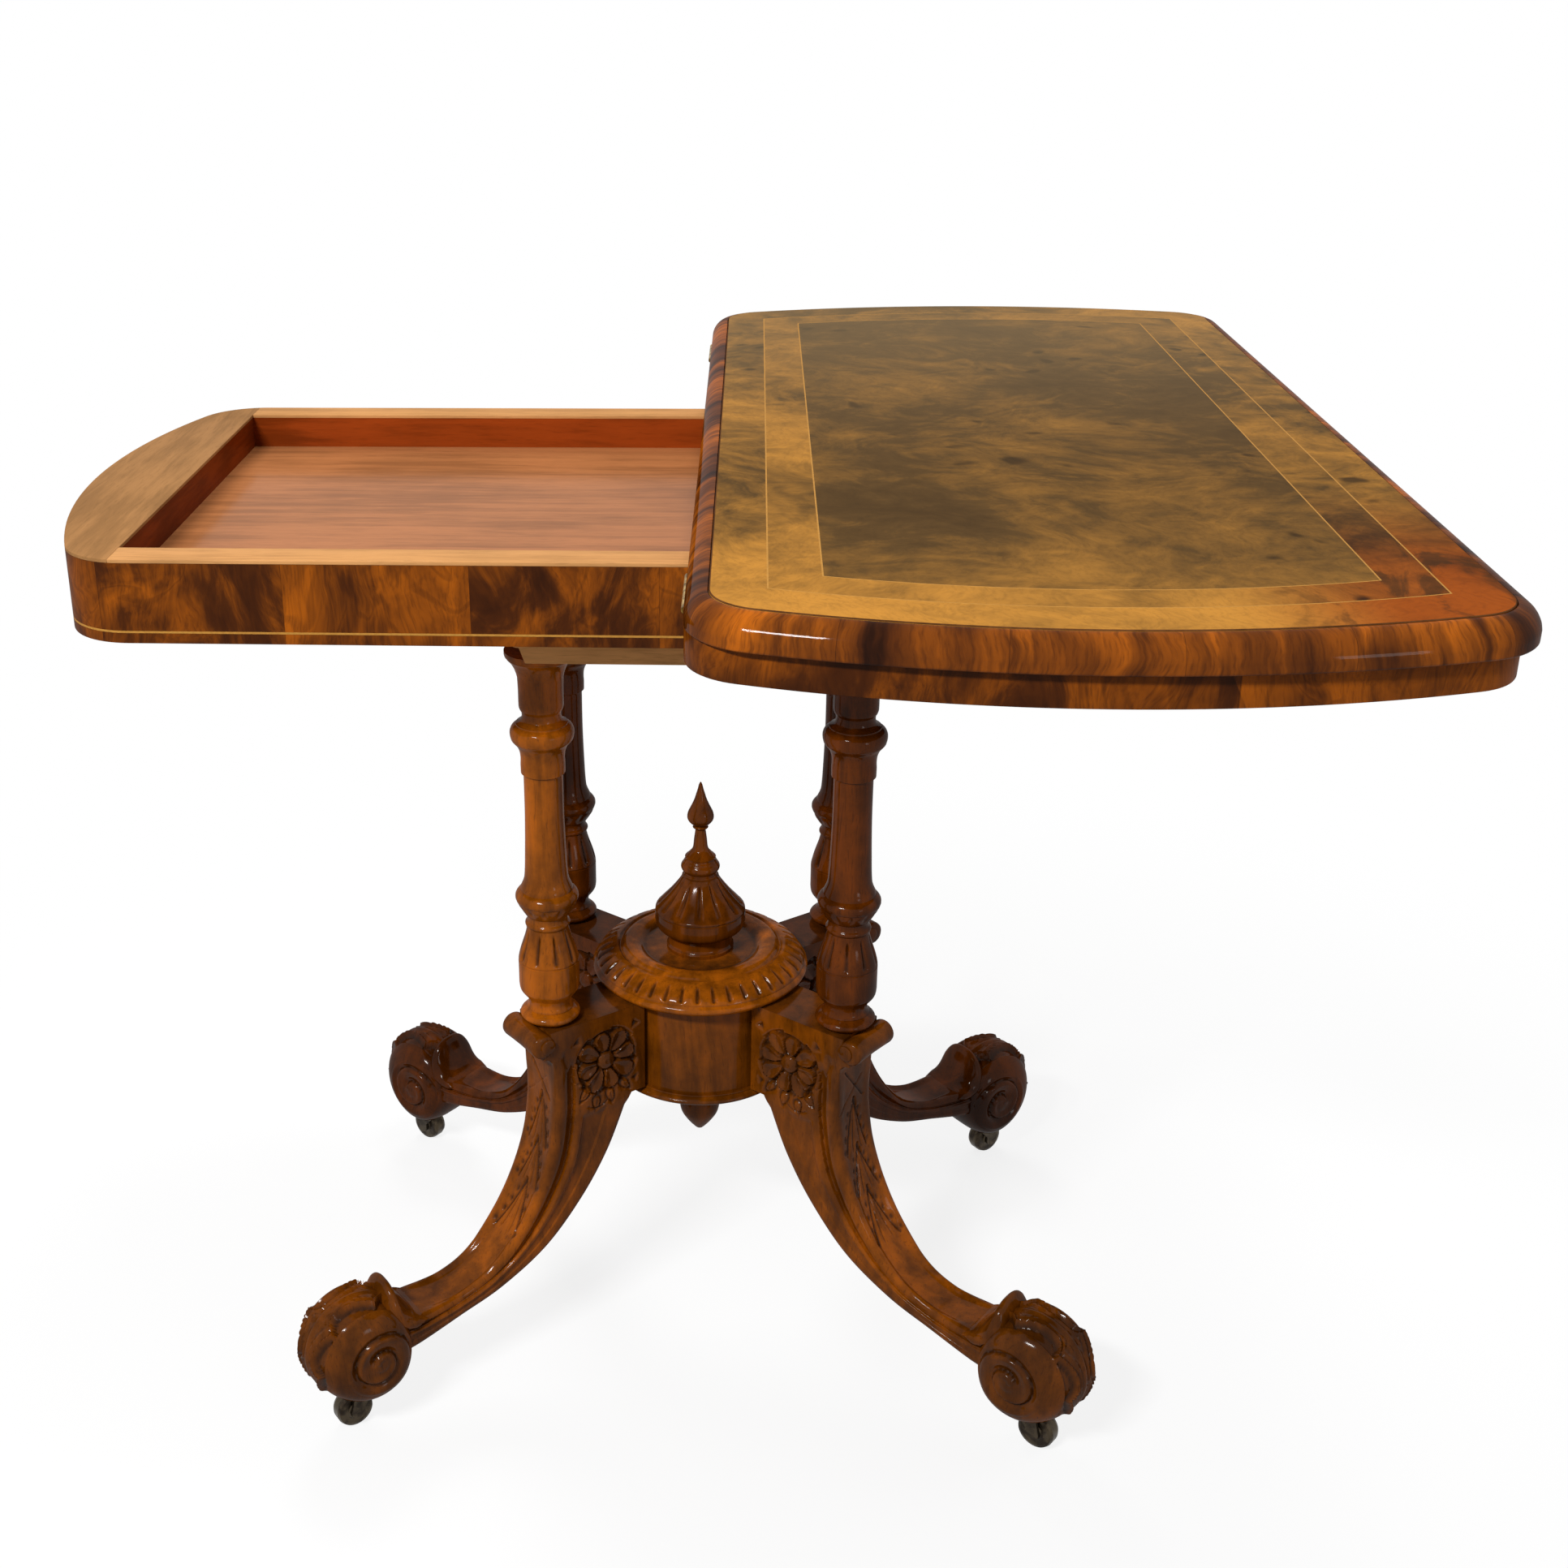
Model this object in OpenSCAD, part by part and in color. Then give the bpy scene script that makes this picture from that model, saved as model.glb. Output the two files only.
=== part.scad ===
// Swivel-top games table on a four-column pedestal with scroll legs.
// The folded top stands a quarter turn open, over the right half of the frieze.
// The origin is on the floor, on the pedestal's own axis.

/* [Table top] */
// Length of each leaf along its fold line
leaf_w = 914; // [860:1:960]
// Depth of each leaf from the fold line to its far edge
leaf_d = 440; // [420:1:460]
// Height of the playing table's closed surface above the floor
top_z = 728; // [700:1:760]
// Thickness of the upper leaf
upper_leaf_t = 19.7; // [17:0.1:24]
// Thickness of the lower leaf
lower_leaf_t = 20; // [17:0.1:26]
// Air between the two folded leaves
leaf_gap = 0.3; // [0.2:0.05:0.5]
// How far each end of a leaf bows out past its corners
leaf_bow = 40; // [25:1:55]
// Radius of a leaf's corners
leaf_corner_r = 48; // [40:1:60]
// Width of the thumb moulding round the upper leaf
mould_w = 13.5; // [10:0.5:18]
// How far the lower leaf's edge is set in from the moulding
lower_inset = 7.5; // [4:0.5:12]
// Wooden border left round the baize of a playing face
baize_border = 74; // [60:1:90]
// Radius of the baize's corners
baize_corner_r = 8; // [4:1:20]
// Depth that the baize is let in
baize_t = 1.5; // [1:0.1:2.5]

/* [Hinges and swivel] */
// Distance of each hinge from the middle of the fold line
hinge_y = 330; // [240:1:360]
// Length of a hinge along the fold line
hinge_l = 60; // [40:1:80]
// Width of a hinge plate
hinge_plate_w = 22; // [16:1:30]
// Thickness of a hinge plate
hinge_plate_t = 1.6; // [1.2:0.1:2]
// Radius of a hinge knuckle
knuckle_r = 2; // [1.8:0.1:2.6]
// Radius of a hinge pin
hinge_pin_r = 1; // [0.8:0.05:1.2]
// Running clearance round a turning pin
pin_fit = 0.06; // [0.03:0.01:0.09]
// Radius of the swivel bolt
pivot_r = 6; // [5:0.5:8]
// Side of the square swivel plate under the lower leaf
pivot_plate_w = 80; // [60:1:100]
// Thickness of the swivel plate
pivot_plate_t = 3; // [2:0.5:5]
// Gap between the lower leaf and the frieze it slides on
slide_gap = 0.3; // [0.2:0.05:0.6]

/* [Frieze and well] */
// Length of the frieze over its bowed ends
frieze_w = 867; // [840:1:890]
// Depth of the frieze from front to back
frieze_d = 421; // [400:1:440]
// Height of the frieze
frieze_h = 55.4; // [50:0.1:70]
// How far each end of the frieze bows out
frieze_bow = 43; // [30:1:50]
// Radius of the frieze's corners
frieze_corner_r = 47; // [40:1:55]
// Thickness of the front and back rails
rail_t = 22; // [18:1:26]
// Thickness of an end block on the centre line
end_block_t = 62.5; // [55:0.5:70]
// Thickness of the well's linings
lining_t = 5; // [4:0.5:8]
// Thickness of the border strips on the frieze's top edge
border_t = 2.5; // [1.5:0.5:4]
// Depth of the well below the frieze's top
well_depth = 25.7; // [20:0.1:28]
// Thickness of the well's floor
well_floor_t = 6; // [5:0.5:8]
// Right end of the well, from the pedestal's axis
well_right_x = 45; // [30:1:50]
// Thickness of the rail that carries the swivel bolt
pivot_rail_t = 19; // [16:0.5:21]
// Width of the rail that carries the swivel bolt
pivot_rail_w = 115; // [105:1:130]
// Height of the boxwood string above the frieze's lower edge
string_z = 7.7; // [4:0.1:12]
// Width of the boxwood string
string_w = 1.6; // [1:0.1:2.5]
// Depth that the boxwood string is let in
string_t = 1.2; // [0.8:0.1:1.6]
// Width of a cross rail under the well
cross_rail_w = 40; // [30:1:44]
// Distance of a cross rail from the middle
cross_rail_x = 75; // [70:1:77]

/* [Bearers and columns] */
// Length of a bearer
bearer_l = 296; // [285:1:330]
// Width of a bearer
bearer_w = 62; // [56:1:80]
// Thickness of a bearer
bearer_h = 46.3; // [40:0.1:52]
// Radius of the cove that ends a bearer
bearer_cove_r = 13; // [8:0.5:15]
// Distance of the columns from the pedestal's axis
column_reach = 138; // [134:1:140]
// Radius of a column's rings
col_ring_r = 22.8; // [21:0.1:24]
// Radius of a column's pear
col_pear_r = 22.5; // [20:0.1:24]
// Radius of a column's collars and neck
col_neck_r = 16; // [15:0.1:18]
// Smallest radius of a column's shaft
col_shaft_r = 14; // [12.5:0.1:15]
// Radius of a column's flared cap
col_cap_r = 25; // [22:0.5:27]
// Radius of the turned pins at a column's ends
col_pin_r = 9; // [7:0.5:11]
// Length of those pins
col_pin_l = 18; // [12:1:24]
// Flutes round a column's pear
col_flutes = 9; // [6:1:12]

/* [Pedestal] */
// Height of the legs' shoulders above the floor
leg_top_z = 293; // [285:1:300]
// Radius of the drum
drum_r = 67; // [62:1:70]
// Height of the drum
drum_h = 77; // [70:1:84]
// Radius of the gouged top disc
disc_r = 84; // [78:1:90]
// Gouges round the top disc
disc_gouges = 40; // [24:1:44]
// Height of the top disc's rim
disc_rim_h = 9; // [7:0.5:11]
// Height of the top disc where the finial stands
disc_dish_h = 18; // [16:0.5:20]
// Radius of the bottom disc
rim_r = 73; // [70:1:77]
// Thickness of the bottom disc
rim_h = 9; // [7:0.5:12]
// Radius of the finial's cone
cone_r = 35; // [30:0.5:40]
// Flutes down the finial's cone
cone_flutes = 12; // [8:1:16]
// Radius of the pins that join the finial, discs and pendant
spigot_r = 10; // [8:0.5:12]
// Radius of the pendant
pendant_r = 20; // [16:0.5:24]
// Height of the pendant
pendant_h = 65; // [50:1:75]

/* [Scroll legs] */
// Angle of the legs from the table's long side
leg_angle = 37; // [35:0.5:39]
// Thickness of a leg
leg_t = 46; // [42:1:48]
// Distance of a leg's outer face from the pedestal's axis
leg_face_s = 149; // [146:1:151]
// Where a leg leaves the drum on its underside
leg_root_s = 76; // [74:1:80]
// Distance of the scroll's eye from the pedestal's axis
foot_s = 311; // [300:1:320]
// Height of the scroll's eye
foot_z = 69; // [66:1:74]
// Radius of the scroll foot
foot_r = 44; // [42:0.5:46]
// Width of the scroll foot across its volutes
foot_t = 60; // [56:1:64]
// Rise of the carved leaf over the toe
leaf_rise = 7; // [4:0.5:9]
// Radius of the roll that caps a shoulder
roll_r = 11; // [8:0.5:12]
// Radius of the collar above the foot
collar_r = 13.5; // [12:0.5:14]
// Turns of each volute
volute_turns = 1.6; // [1.2:0.1:2]
// Height that the volutes stand out
volute_t = 3; // [2:0.5:4]
// Thickness of the tongue that joins a leg to the drum
tongue_t = 14; // [10:1:18]

/* [Castors] */
// Distance of a castor's stem from the pedestal's axis
castor_s = 317; // [315:0.5:319]
// Radius of a wheel
wheel_r = 14.5; // [13:0.5:15]
// Width of a wheel
wheel_w = 15; // [12:0.5:16]
// How far a wheel trails its stem
trail = 6; // [4:0.5:6.5]
// Thickness of a fork's cheeks
cheek_t = 2.5; // [2:0.5:3]
// Radius of a castor's stem
stem_r = 4; // [3.5:0.5:5]
// Length of the stem above its plate
stem_l = 18; // [14:1:20]
// Radius of a wheel's axle
axle_r = 2.2; // [1.8:0.1:2.6]
// Air between the parts of a castor
castor_gap = 0.4; // [0.3:0.05:0.6]
// Thickness of the plate over a castor
plate_t = 2; // [1.5:0.5:2.5]
// Thickness of a fork's crown
crown_t = 2.6; // [2:0.1:3]

/* [Hidden] */
$fn = 64;
eps = 0.01;
joint_fit = 0.05;

// Heights of the top, from its surface down
upper_bottom = top_z - upper_leaf_t;
lower_top = upper_bottom - leaf_gap;
lower_bottom = lower_top - lower_leaf_t;
fold_z = (upper_bottom + lower_top) / 2;
frieze_top = lower_bottom - slide_gap;
frieze_bottom = frieze_top - frieze_h;
under_border = frieze_top - border_t;
well_z = frieze_top - well_depth;
floor_bottom = well_z - well_floor_t;
edge_gap = leaf_gap / 2;
hinge_slot_r = knuckle_r + 0.6;

// Swivel: the top's centre moves from the pedestal's axis to half a leaf's depth along X
pivot_x = leaf_d / 4;
pivot_y = leaf_d / 4;
pivot_head_r = pivot_r + 5;
pivot_head_h = 3;
washer_r = pivot_r + 6;
washer_t = 2;
nut_h = 8;
nut_r = pivot_r + 5;
bolt_end = 3;
pivot_rail_x = well_right_x + lining_t;
pivot_rail_bottom = under_border - pivot_rail_t;

// Places in the frieze
end_x = frieze_w / 2 - end_block_t;
well_left_x = -end_x + lining_t;
rail_y = frieze_d / 2 - rail_t;
well_y = rail_y - lining_t;

// Columns and bearers
bearer_bottom = frieze_bottom - bearer_h;
column_x = column_reach * cos(leg_angle);
column_y = column_reach * sin(leg_angle);
column_h = bearer_bottom - leg_top_z;
screw_r = 2.5;
screw_head_r = 5;
screw_head_h = 3;
screw_l = 60;
screw_spread = 18;

// Pedestal heights
drum_top = leg_top_z + 1;
drum_bottom = drum_top - drum_h;
rim_bottom = drum_bottom - rim_h;
dish_z = drum_top + disc_dish_h;
cone_h = 76;
spigot_l = 30;
tongue_l = 14;
tongue_top = leg_top_z - 8;
tongue_bottom = drum_bottom + 8;
root_z = drum_bottom + 15;

// Castor heights
fork_half = wheel_w / 2 + castor_gap + cheek_t;
crown_z = 2 * wheel_r + 2 * castor_gap;
plate_z = crown_z + crown_t + castor_gap;
pocket_z = plate_z + plate_t;
pocket_r = sqrt(pow(trail + wheel_r * 0.85, 2) + pow(wheel_w / 2, 2)) + 1;
crown_r = 11;
cheek_r = 5.5;
hub_r = 6;

// The corner signs of the four feet, and their leg angles
LEFT = -1;
RIGHT = 1;
FRONT = -1;
BACK = 1;
function foot_angle(sx, sy) = atan2(sy * sin(leg_angle), sx * cos(leg_angle));

// Colours
walnut = [0.45, 0.24, 0.10];
burr = [0.50, 0.36, 0.17];
mahogany = [0.55, 0.22, 0.11];
boxwood = [0.90, 0.70, 0.35];
baize_green = [0.12, 0.30, 0.18];
pale_walnut = [0.68, 0.45, 0.26];
brass_tone = [0.70, 0.55, 0.25];
iron_tone = [0.22, 0.19, 0.16];

// An arc of n steps that leaves out its first point
function arc(cx, cy, r, a0, a1, n) =
  [for (i = [1:n]) let (a = a0 + (a1 - a0) * i / n) [cx + r * cos(a), cy + r * sin(a)]];

// Outline of a board with straight long sides and bowed ends, its long side along X
corner_steps = 6;
bow_steps = 10;
function bowed(w, d, bow, rc, e = 0) = let (
    rb = (d * d / 4 + bow * bow) / (2 * bow),
    cx = w / 2 - rb,
    ky = d / 2 - rc,
    kx = cx + sqrt(pow(rb - rc, 2) - ky * ky),
    beta = atan2(ky, kx - cx),
    end = concat(
      [[kx, -d / 2 + e]],
      arc(kx, -ky, rc - e, -90, -beta, corner_steps),
      arc(cx, 0, rb - e, -beta, beta, bow_steps),
      arc(kx, ky, rc - e, beta, 90, corner_steps)
    )
  ) concat(end, [for (p = end) -p]);

// The same outline with its long side along Y, centred half a leaf's depth along X
function leaf_outline(e, w = leaf_w, d = leaf_d, rc = leaf_corner_r) =
  [for (p = bowed(w, d, leaf_bow, rc, e)) [leaf_d / 2 - p[1], p[0]]];

// Outline of the baize, a steady border inside the leaf's own
function baize_outline() = let (
    rb = (leaf_d * leaf_d / 4 + leaf_bow * leaf_bow) / (2 * leaf_bow) - baize_border,
    d = leaf_d - 2 * baize_border,
    bow = rb - sqrt(rb * rb - d * d / 4)
  ) [for (p = bowed(leaf_w - 2 * baize_border, d, bow, baize_corner_r)) [leaf_d / 2 - p[1], p[0]]];

// A point on a smooth curve through the list p, at step i and share t
function curve_point(p, i, t) = let (
    a = p[max(i - 1, 0)],
    b = p[i],
    c = p[i + 1],
    d = p[min(i + 2, len(p) - 1)]
  ) 0.5 * (2 * b + (c - a) * t + (2 * a - 5 * b + 4 * c - d) * t * t + (3 * b - a - 3 * c + d) * t * t * t);
function curve(p, steps) = concat(
  [for (i = [0:len(p) - 2], k = [0:steps - 1]) curve_point(p, i, k / steps)],
  [p[len(p) - 1]]
);

// A half-round swelling of a turned profile between two heights
function bead(z0, z1, r0, r1, n = 6) =
  [for (i = [0:n]) [r0 + (r1 - r0) * sin(180 * i / n), z0 + (z1 - z0) * i / n]];

// A board of the frieze's outline between two heights
module frieze_slab(z0, z1, e = 0) {
  translate([0, 0, z0])
    linear_extrude(z1 - z0)
      polygon(bowed(frieze_w, frieze_d, frieze_bow, frieze_corner_r, e));
}

// The groove, and the line that fills it, round the frieze's face
module string_band(grow = 0) {
  z = frieze_bottom + string_z;
  difference() {
    frieze_slab(z - string_w / 2, z + string_w / 2, -grow);
    frieze_slab(z - string_w, z + string_w, string_t);
  }
}

module box(x0, x1, y0, y1, z0, z1) {
  translate([x0, y0, z0])
    cube([x1 - x0, y1 - y0, z1 - z0]);
}

// Upper leaf: the panel inside the moulding
module upper_panel() {
  color(burr)
    difference() {
      translate([0, 0, upper_bottom])
        linear_extrude(upper_leaf_t)
          polygon(leaf_outline(mould_w));
      translate([0, 0, upper_bottom - eps])
        linear_extrude(baize_t + eps)
          polygon(baize_outline());
      moving_plate_mortises();
    }
}

// Section of the thumb moulding: inset from the edge, and height above the leaf's underside
function mould_section() = [
  [mould_w, 0],
  [0.8, 0],
  [0, 1.7],
  [0, 0.33 * upper_leaf_t],
  [0.09 * mould_w, 0.54 * upper_leaf_t],
  [0.28 * mould_w, 0.74 * upper_leaf_t],
  [0.53 * mould_w, 0.88 * upper_leaf_t],
  [0.79 * mould_w, upper_leaf_t - 0.8],
  [mould_w - 0.5, upper_leaf_t - 0.6],
  [mould_w, upper_leaf_t - 1.4]
];

// Cross-grain thumb moulding round the upper leaf
module upper_moulding() {
  sec = mould_section();
  n = len(leaf_outline(0));
  m = len(sec);
  pts = [for (s = sec, p = leaf_outline(s[0])) [p[0], p[1], upper_bottom + s[1]]];
  sides = [
    for (k = [0:m - 1], j = [0:n - 1])
      let (k1 = (k + 1) % m, j1 = (j + 1) % n)
        [k * n + j, k1 * n + j, k1 * n + j1, k * n + j1]
  ];
  color(walnut)
    difference() {
      polyhedron(points = pts, faces = sides, convexity = 4);
      moving_plate_mortises();
    }
}

module upper_baize() {
  color(baize_green)
    translate([0, 0, upper_bottom])
      linear_extrude(baize_t)
        polygon(baize_outline());
}

// Lower leaf, set in from the moulding on all sides but the fold line
module lower_leaf() {
  w = leaf_w - 2 * lower_inset;
  d = leaf_d - lower_inset - edge_gap;
  rc = leaf_corner_r - lower_inset;
  color(walnut)
    difference() {
      translate([(edge_gap - lower_inset) / 2, 0, lower_bottom])
        linear_extrude(lower_leaf_t)
          polygon(leaf_outline(0, w, d, rc));
      translate([0, 0, lower_top - baize_t])
        linear_extrude(baize_t + eps)
          polygon(baize_outline());
      fixed_plate_mortises();
      box(pivot_x - pivot_plate_w / 2 - joint_fit, pivot_x + pivot_plate_w / 2 + joint_fit,
        pivot_y - pivot_plate_w / 2 - joint_fit, pivot_y + pivot_plate_w / 2 + joint_fit,
        lower_bottom - 1, lower_bottom + pivot_plate_t);
      translate([pivot_x, pivot_y, lower_bottom])
        cylinder(r = pivot_head_r + joint_fit, h = pivot_plate_t + pivot_head_h + joint_fit);
    }
}

module lower_baize() {
  color(baize_green)
    translate([0, 0, lower_top - baize_t])
      linear_extrude(baize_t)
        polygon(baize_outline());
}

// A cylinder along Y on the fold line
module fold_rod(r, y0, y1) {
  translate([0, y1, fold_z])
    rotate([90, 0, 0])
      cylinder(r = r, h = y1 - y0);
}

// What the hinges take out of each leaf
module moving_plate_mortises() {
  for (side = [-1, 1]) {
    y = side * hinge_y;
    box(-1, hinge_plate_w + joint_fit, y - hinge_l / 2 - joint_fit, y + hinge_l / 2 + joint_fit,
      upper_bottom - 1, upper_bottom + hinge_plate_t);
    box(-1, hinge_slot_r, y - hinge_l / 2 - 0.5, y + hinge_l / 2 + 0.5,
      upper_bottom - 1, fold_z + hinge_slot_r);
  }
}
module fixed_plate_mortises() {
  for (side = [-1, 1]) {
    y = side * hinge_y;
    box(-1, hinge_plate_w + joint_fit, y - hinge_l / 2 - joint_fit, y + hinge_l / 2 + joint_fit,
      lower_top - hinge_plate_t, lower_top + 1);
    box(-1, hinge_slot_r, y - hinge_l / 2 - 0.5, y + hinge_l / 2 + 0.5,
      fold_z - hinge_slot_r, lower_top + 1);
  }
}

// The moving plate has the middle knuckle, and the fixed plate the outer two
knuckle_half = hinge_l / 6;
module moving_plate() {
  difference() {
    union() {
      box(0, hinge_plate_w, -hinge_l / 2, hinge_l / 2, upper_bottom, upper_bottom + hinge_plate_t);
      fold_rod(knuckle_r, -knuckle_half + 0.15, knuckle_half - 0.15);
    }
    for (side = [-1, 1])
      box(-knuckle_r - 1, hinge_slot_r,
        side < 0 ? -hinge_l : knuckle_half - 0.15, side < 0 ? -knuckle_half + 0.15 : hinge_l,
        upper_bottom - 3, upper_bottom + 3);
    fold_rod(hinge_pin_r + pin_fit, -hinge_l, hinge_l);
  }
}
module fixed_plate() {
  difference() {
    union() {
      difference() {
        box(0, hinge_plate_w, -hinge_l / 2, hinge_l / 2, lower_top - hinge_plate_t, lower_top);
        box(-1, hinge_slot_r, -knuckle_half - 0.15, knuckle_half + 0.15, lower_top - 3, lower_top + 3);
      }
      fold_rod(knuckle_r, knuckle_half + 0.15, hinge_l / 2);
      fold_rod(knuckle_r, -hinge_l / 2, -knuckle_half - 0.15);
    }
    fold_rod(hinge_pin_r + 0.01, -hinge_l, hinge_l);
  }
}
module hinge_moving_plates() {
  color(brass_tone)
    for (side = [-1, 1])
      translate([0, side * hinge_y, 0])
        moving_plate();
}
module hinge_fixed_plates() {
  color(brass_tone)
    for (side = [-1, 1])
      translate([0, side * hinge_y, 0])
        fixed_plate();
}
module hinge_pins() {
  color(brass_tone)
    for (side = [-1, 1])
      translate([0, side * hinge_y, 0])
        fold_rod(hinge_pin_r, -hinge_l / 2, hinge_l / 2);
}

// Swivel under the lower leaf
module pivot_plate() {
  color(iron_tone)
    difference() {
      box(pivot_x - pivot_plate_w / 2, pivot_x + pivot_plate_w / 2,
        pivot_y - pivot_plate_w / 2, pivot_y + pivot_plate_w / 2,
        lower_bottom, lower_bottom + pivot_plate_t);
      translate([pivot_x, pivot_y, lower_bottom - 1])
        cylinder(r = pivot_r + joint_fit, h = pivot_plate_t + 2);
    }
}
nut_bottom = pivot_rail_bottom - slide_gap - washer_t - nut_h;
module pivot_bolt() {
  color(iron_tone)
    translate([pivot_x, pivot_y, 0]) {
      translate([0, 0, lower_bottom + pivot_plate_t])
        cylinder(r = pivot_head_r, h = pivot_head_h);
      translate([0, 0, nut_bottom - bolt_end])
        cylinder(r = pivot_r, h = lower_bottom + pivot_plate_t - nut_bottom + bolt_end + eps);
    }
}
module pivot_washer() {
  color(iron_tone)
    translate([pivot_x, pivot_y, nut_bottom + nut_h])
      difference() {
        cylinder(r = washer_r, h = washer_t);
        translate([0, 0, -1])
          cylinder(r = pivot_r + joint_fit, h = washer_t + 2);
      }
}
module pivot_nut() {
  color(iron_tone)
    translate([pivot_x, pivot_y, nut_bottom])
      difference() {
        cylinder(r = nut_r, h = nut_h, $fn = 6);
        translate([0, 0, -1])
          cylinder(r = pivot_r + joint_fit, h = nut_h + 2);
      }
}

// Frieze: straight rails between solid bowed ends
module frieze_rail(side) {
  color(walnut)
    difference() {
      intersection() {
        frieze_slab(frieze_bottom, under_border);
        box(-end_x, end_x, side < 0 ? -frieze_d : rail_y, side < 0 ? -rail_y : frieze_d,
          frieze_bottom - 1, frieze_top + 1);
      }
      string_band(1);
    }
}
module frieze_end(side) {
  color(walnut)
    difference() {
      intersection() {
        frieze_slab(frieze_bottom, under_border);
        box(side < 0 ? -frieze_w : end_x, side < 0 ? -end_x : frieze_w, -frieze_d, frieze_d,
          frieze_bottom - 1, frieze_top + 1);
      }
      string_band(1);
    }
}
module frieze_front_rail() { frieze_rail(FRONT); }
module frieze_back_rail() { frieze_rail(BACK); }
module frieze_left_end() { frieze_end(LEFT); }
module frieze_right_end() { frieze_end(RIGHT); }
module frieze_string() {
  color(boxwood) string_band();
}

// Border strips over the rails, the ends and the linings' edges
module border_strip(side) {
  color(pale_walnut)
    intersection() {
      frieze_slab(under_border, frieze_top);
      box(well_left_x, -well_left_x, side < 0 ? -frieze_d : well_y, side < 0 ? -well_y : frieze_d,
        under_border - 1, frieze_top + 1);
    }
}
module border_end(side) {
  color(pale_walnut)
    intersection() {
      frieze_slab(under_border, frieze_top);
      box(side < 0 ? -frieze_w : -well_left_x, side < 0 ? well_left_x : frieze_w,
        -frieze_d, frieze_d, under_border - 1, frieze_top + 1);
    }
}
module border_front() { border_strip(FRONT); }
module border_back() { border_strip(BACK); }
module border_left() { border_end(LEFT); }
module border_right() { border_end(RIGHT); }

// Well
module well_floor() {
  color(mahogany)
    box(-end_x, pivot_rail_x, -rail_y, rail_y, floor_bottom, well_z);
}
module well_lining_front() {
  color(mahogany)
    box(well_left_x, pivot_rail_x, -rail_y, -well_y, well_z, under_border);
}
module well_lining_back() {
  color(mahogany)
    box(well_left_x, pivot_rail_x, well_y, rail_y, well_z, under_border);
}
module well_lining_left() {
  color(mahogany)
    box(-end_x, well_left_x, -rail_y, rail_y, well_z, under_border);
}
module well_lining_right() {
  color(mahogany)
    box(well_right_x, pivot_rail_x, -well_y, well_y, well_z, under_border);
}
module pivot_rail() {
  color(mahogany)
    difference() {
      box(pivot_rail_x, pivot_rail_x + pivot_rail_w, -rail_y, rail_y, pivot_rail_bottom, under_border);
      translate([pivot_x, pivot_y, pivot_rail_bottom - 1])
        cylinder(r = pivot_r + pin_fit, h = pivot_rail_t + 2);
    }
}

// Cross rails tie the frieze under the well and take the bearers' screws
module cross_rail(side) {
  color(mahogany)
    difference() {
      box(side * cross_rail_x - cross_rail_w / 2, side * cross_rail_x + cross_rail_w / 2,
        -rail_y, rail_y, frieze_bottom, floor_bottom);
      bearer_screw_shanks(joint_fit);
    }
}
module cross_rail_left() { cross_rail(LEFT); }
module cross_rail_right() { cross_rail(RIGHT); }

// Bearers, with an ogee at each end
function bearer_end() = concat(
  [[bearer_l / 2, frieze_bottom]],
  [[bearer_l / 2, frieze_bottom - 8], [bearer_l / 2 - 2, frieze_bottom - 8]],
  arc(bearer_l / 2 - 2, frieze_bottom - 8 - bearer_cove_r, bearer_cove_r, 90, 180, 6),
  arc(bearer_l / 2 - 2 - bearer_cove_r - 12, frieze_bottom - 10 - bearer_cove_r, 12, 0, -90, 6),
  [[bearer_l / 2 - bearer_cove_r - 18, bearer_bottom]]
);
module bearer(side) {
  half = bearer_end();
  back = [for (i = [len(half) - 1:-1:0]) [-half[i][0], half[i][1]]];
  color(walnut)
    difference() {
      translate([0, side * column_y + bearer_w / 2, 0])
        rotate([90, 0, 0])
          linear_extrude(bearer_w)
            polygon(concat(half, back));
      for (sx = [LEFT, RIGHT])
        translate([sx * column_x, side * column_y, bearer_bottom - 1])
          cylinder(r = col_pin_r + joint_fit, h = col_pin_l + 1 + joint_fit);
      bearer_screw_shanks(joint_fit);
      bearer_screw_heads(joint_fit);
    }
}
module bearer_front() { bearer(FRONT); }
module bearer_back() { bearer(BACK); }

module bearer_screw_shanks(fit) {
  for (sx = [LEFT, RIGHT], sy = [FRONT, BACK], k = [-1, 1])
    translate([sx * cross_rail_x, sy * column_y + k * screw_spread, bearer_bottom + screw_head_h])
      cylinder(r = screw_r + fit, h = screw_l);
}
module bearer_screw_heads(fit) {
  for (sx = [LEFT, RIGHT], sy = [FRONT, BACK], k = [-1, 1])
    translate([sx * cross_rail_x, sy * column_y + k * screw_spread, bearer_bottom - (fit > 0 ? 1 : 0)])
      cylinder(r = screw_head_r + fit, h = screw_head_h + (fit > 0 ? 1 : 0) + fit);
}
module bearer_screws() {
  color(iron_tone) {
    bearer_screw_shanks(0);
    bearer_screw_heads(0);
  }
}

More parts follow.
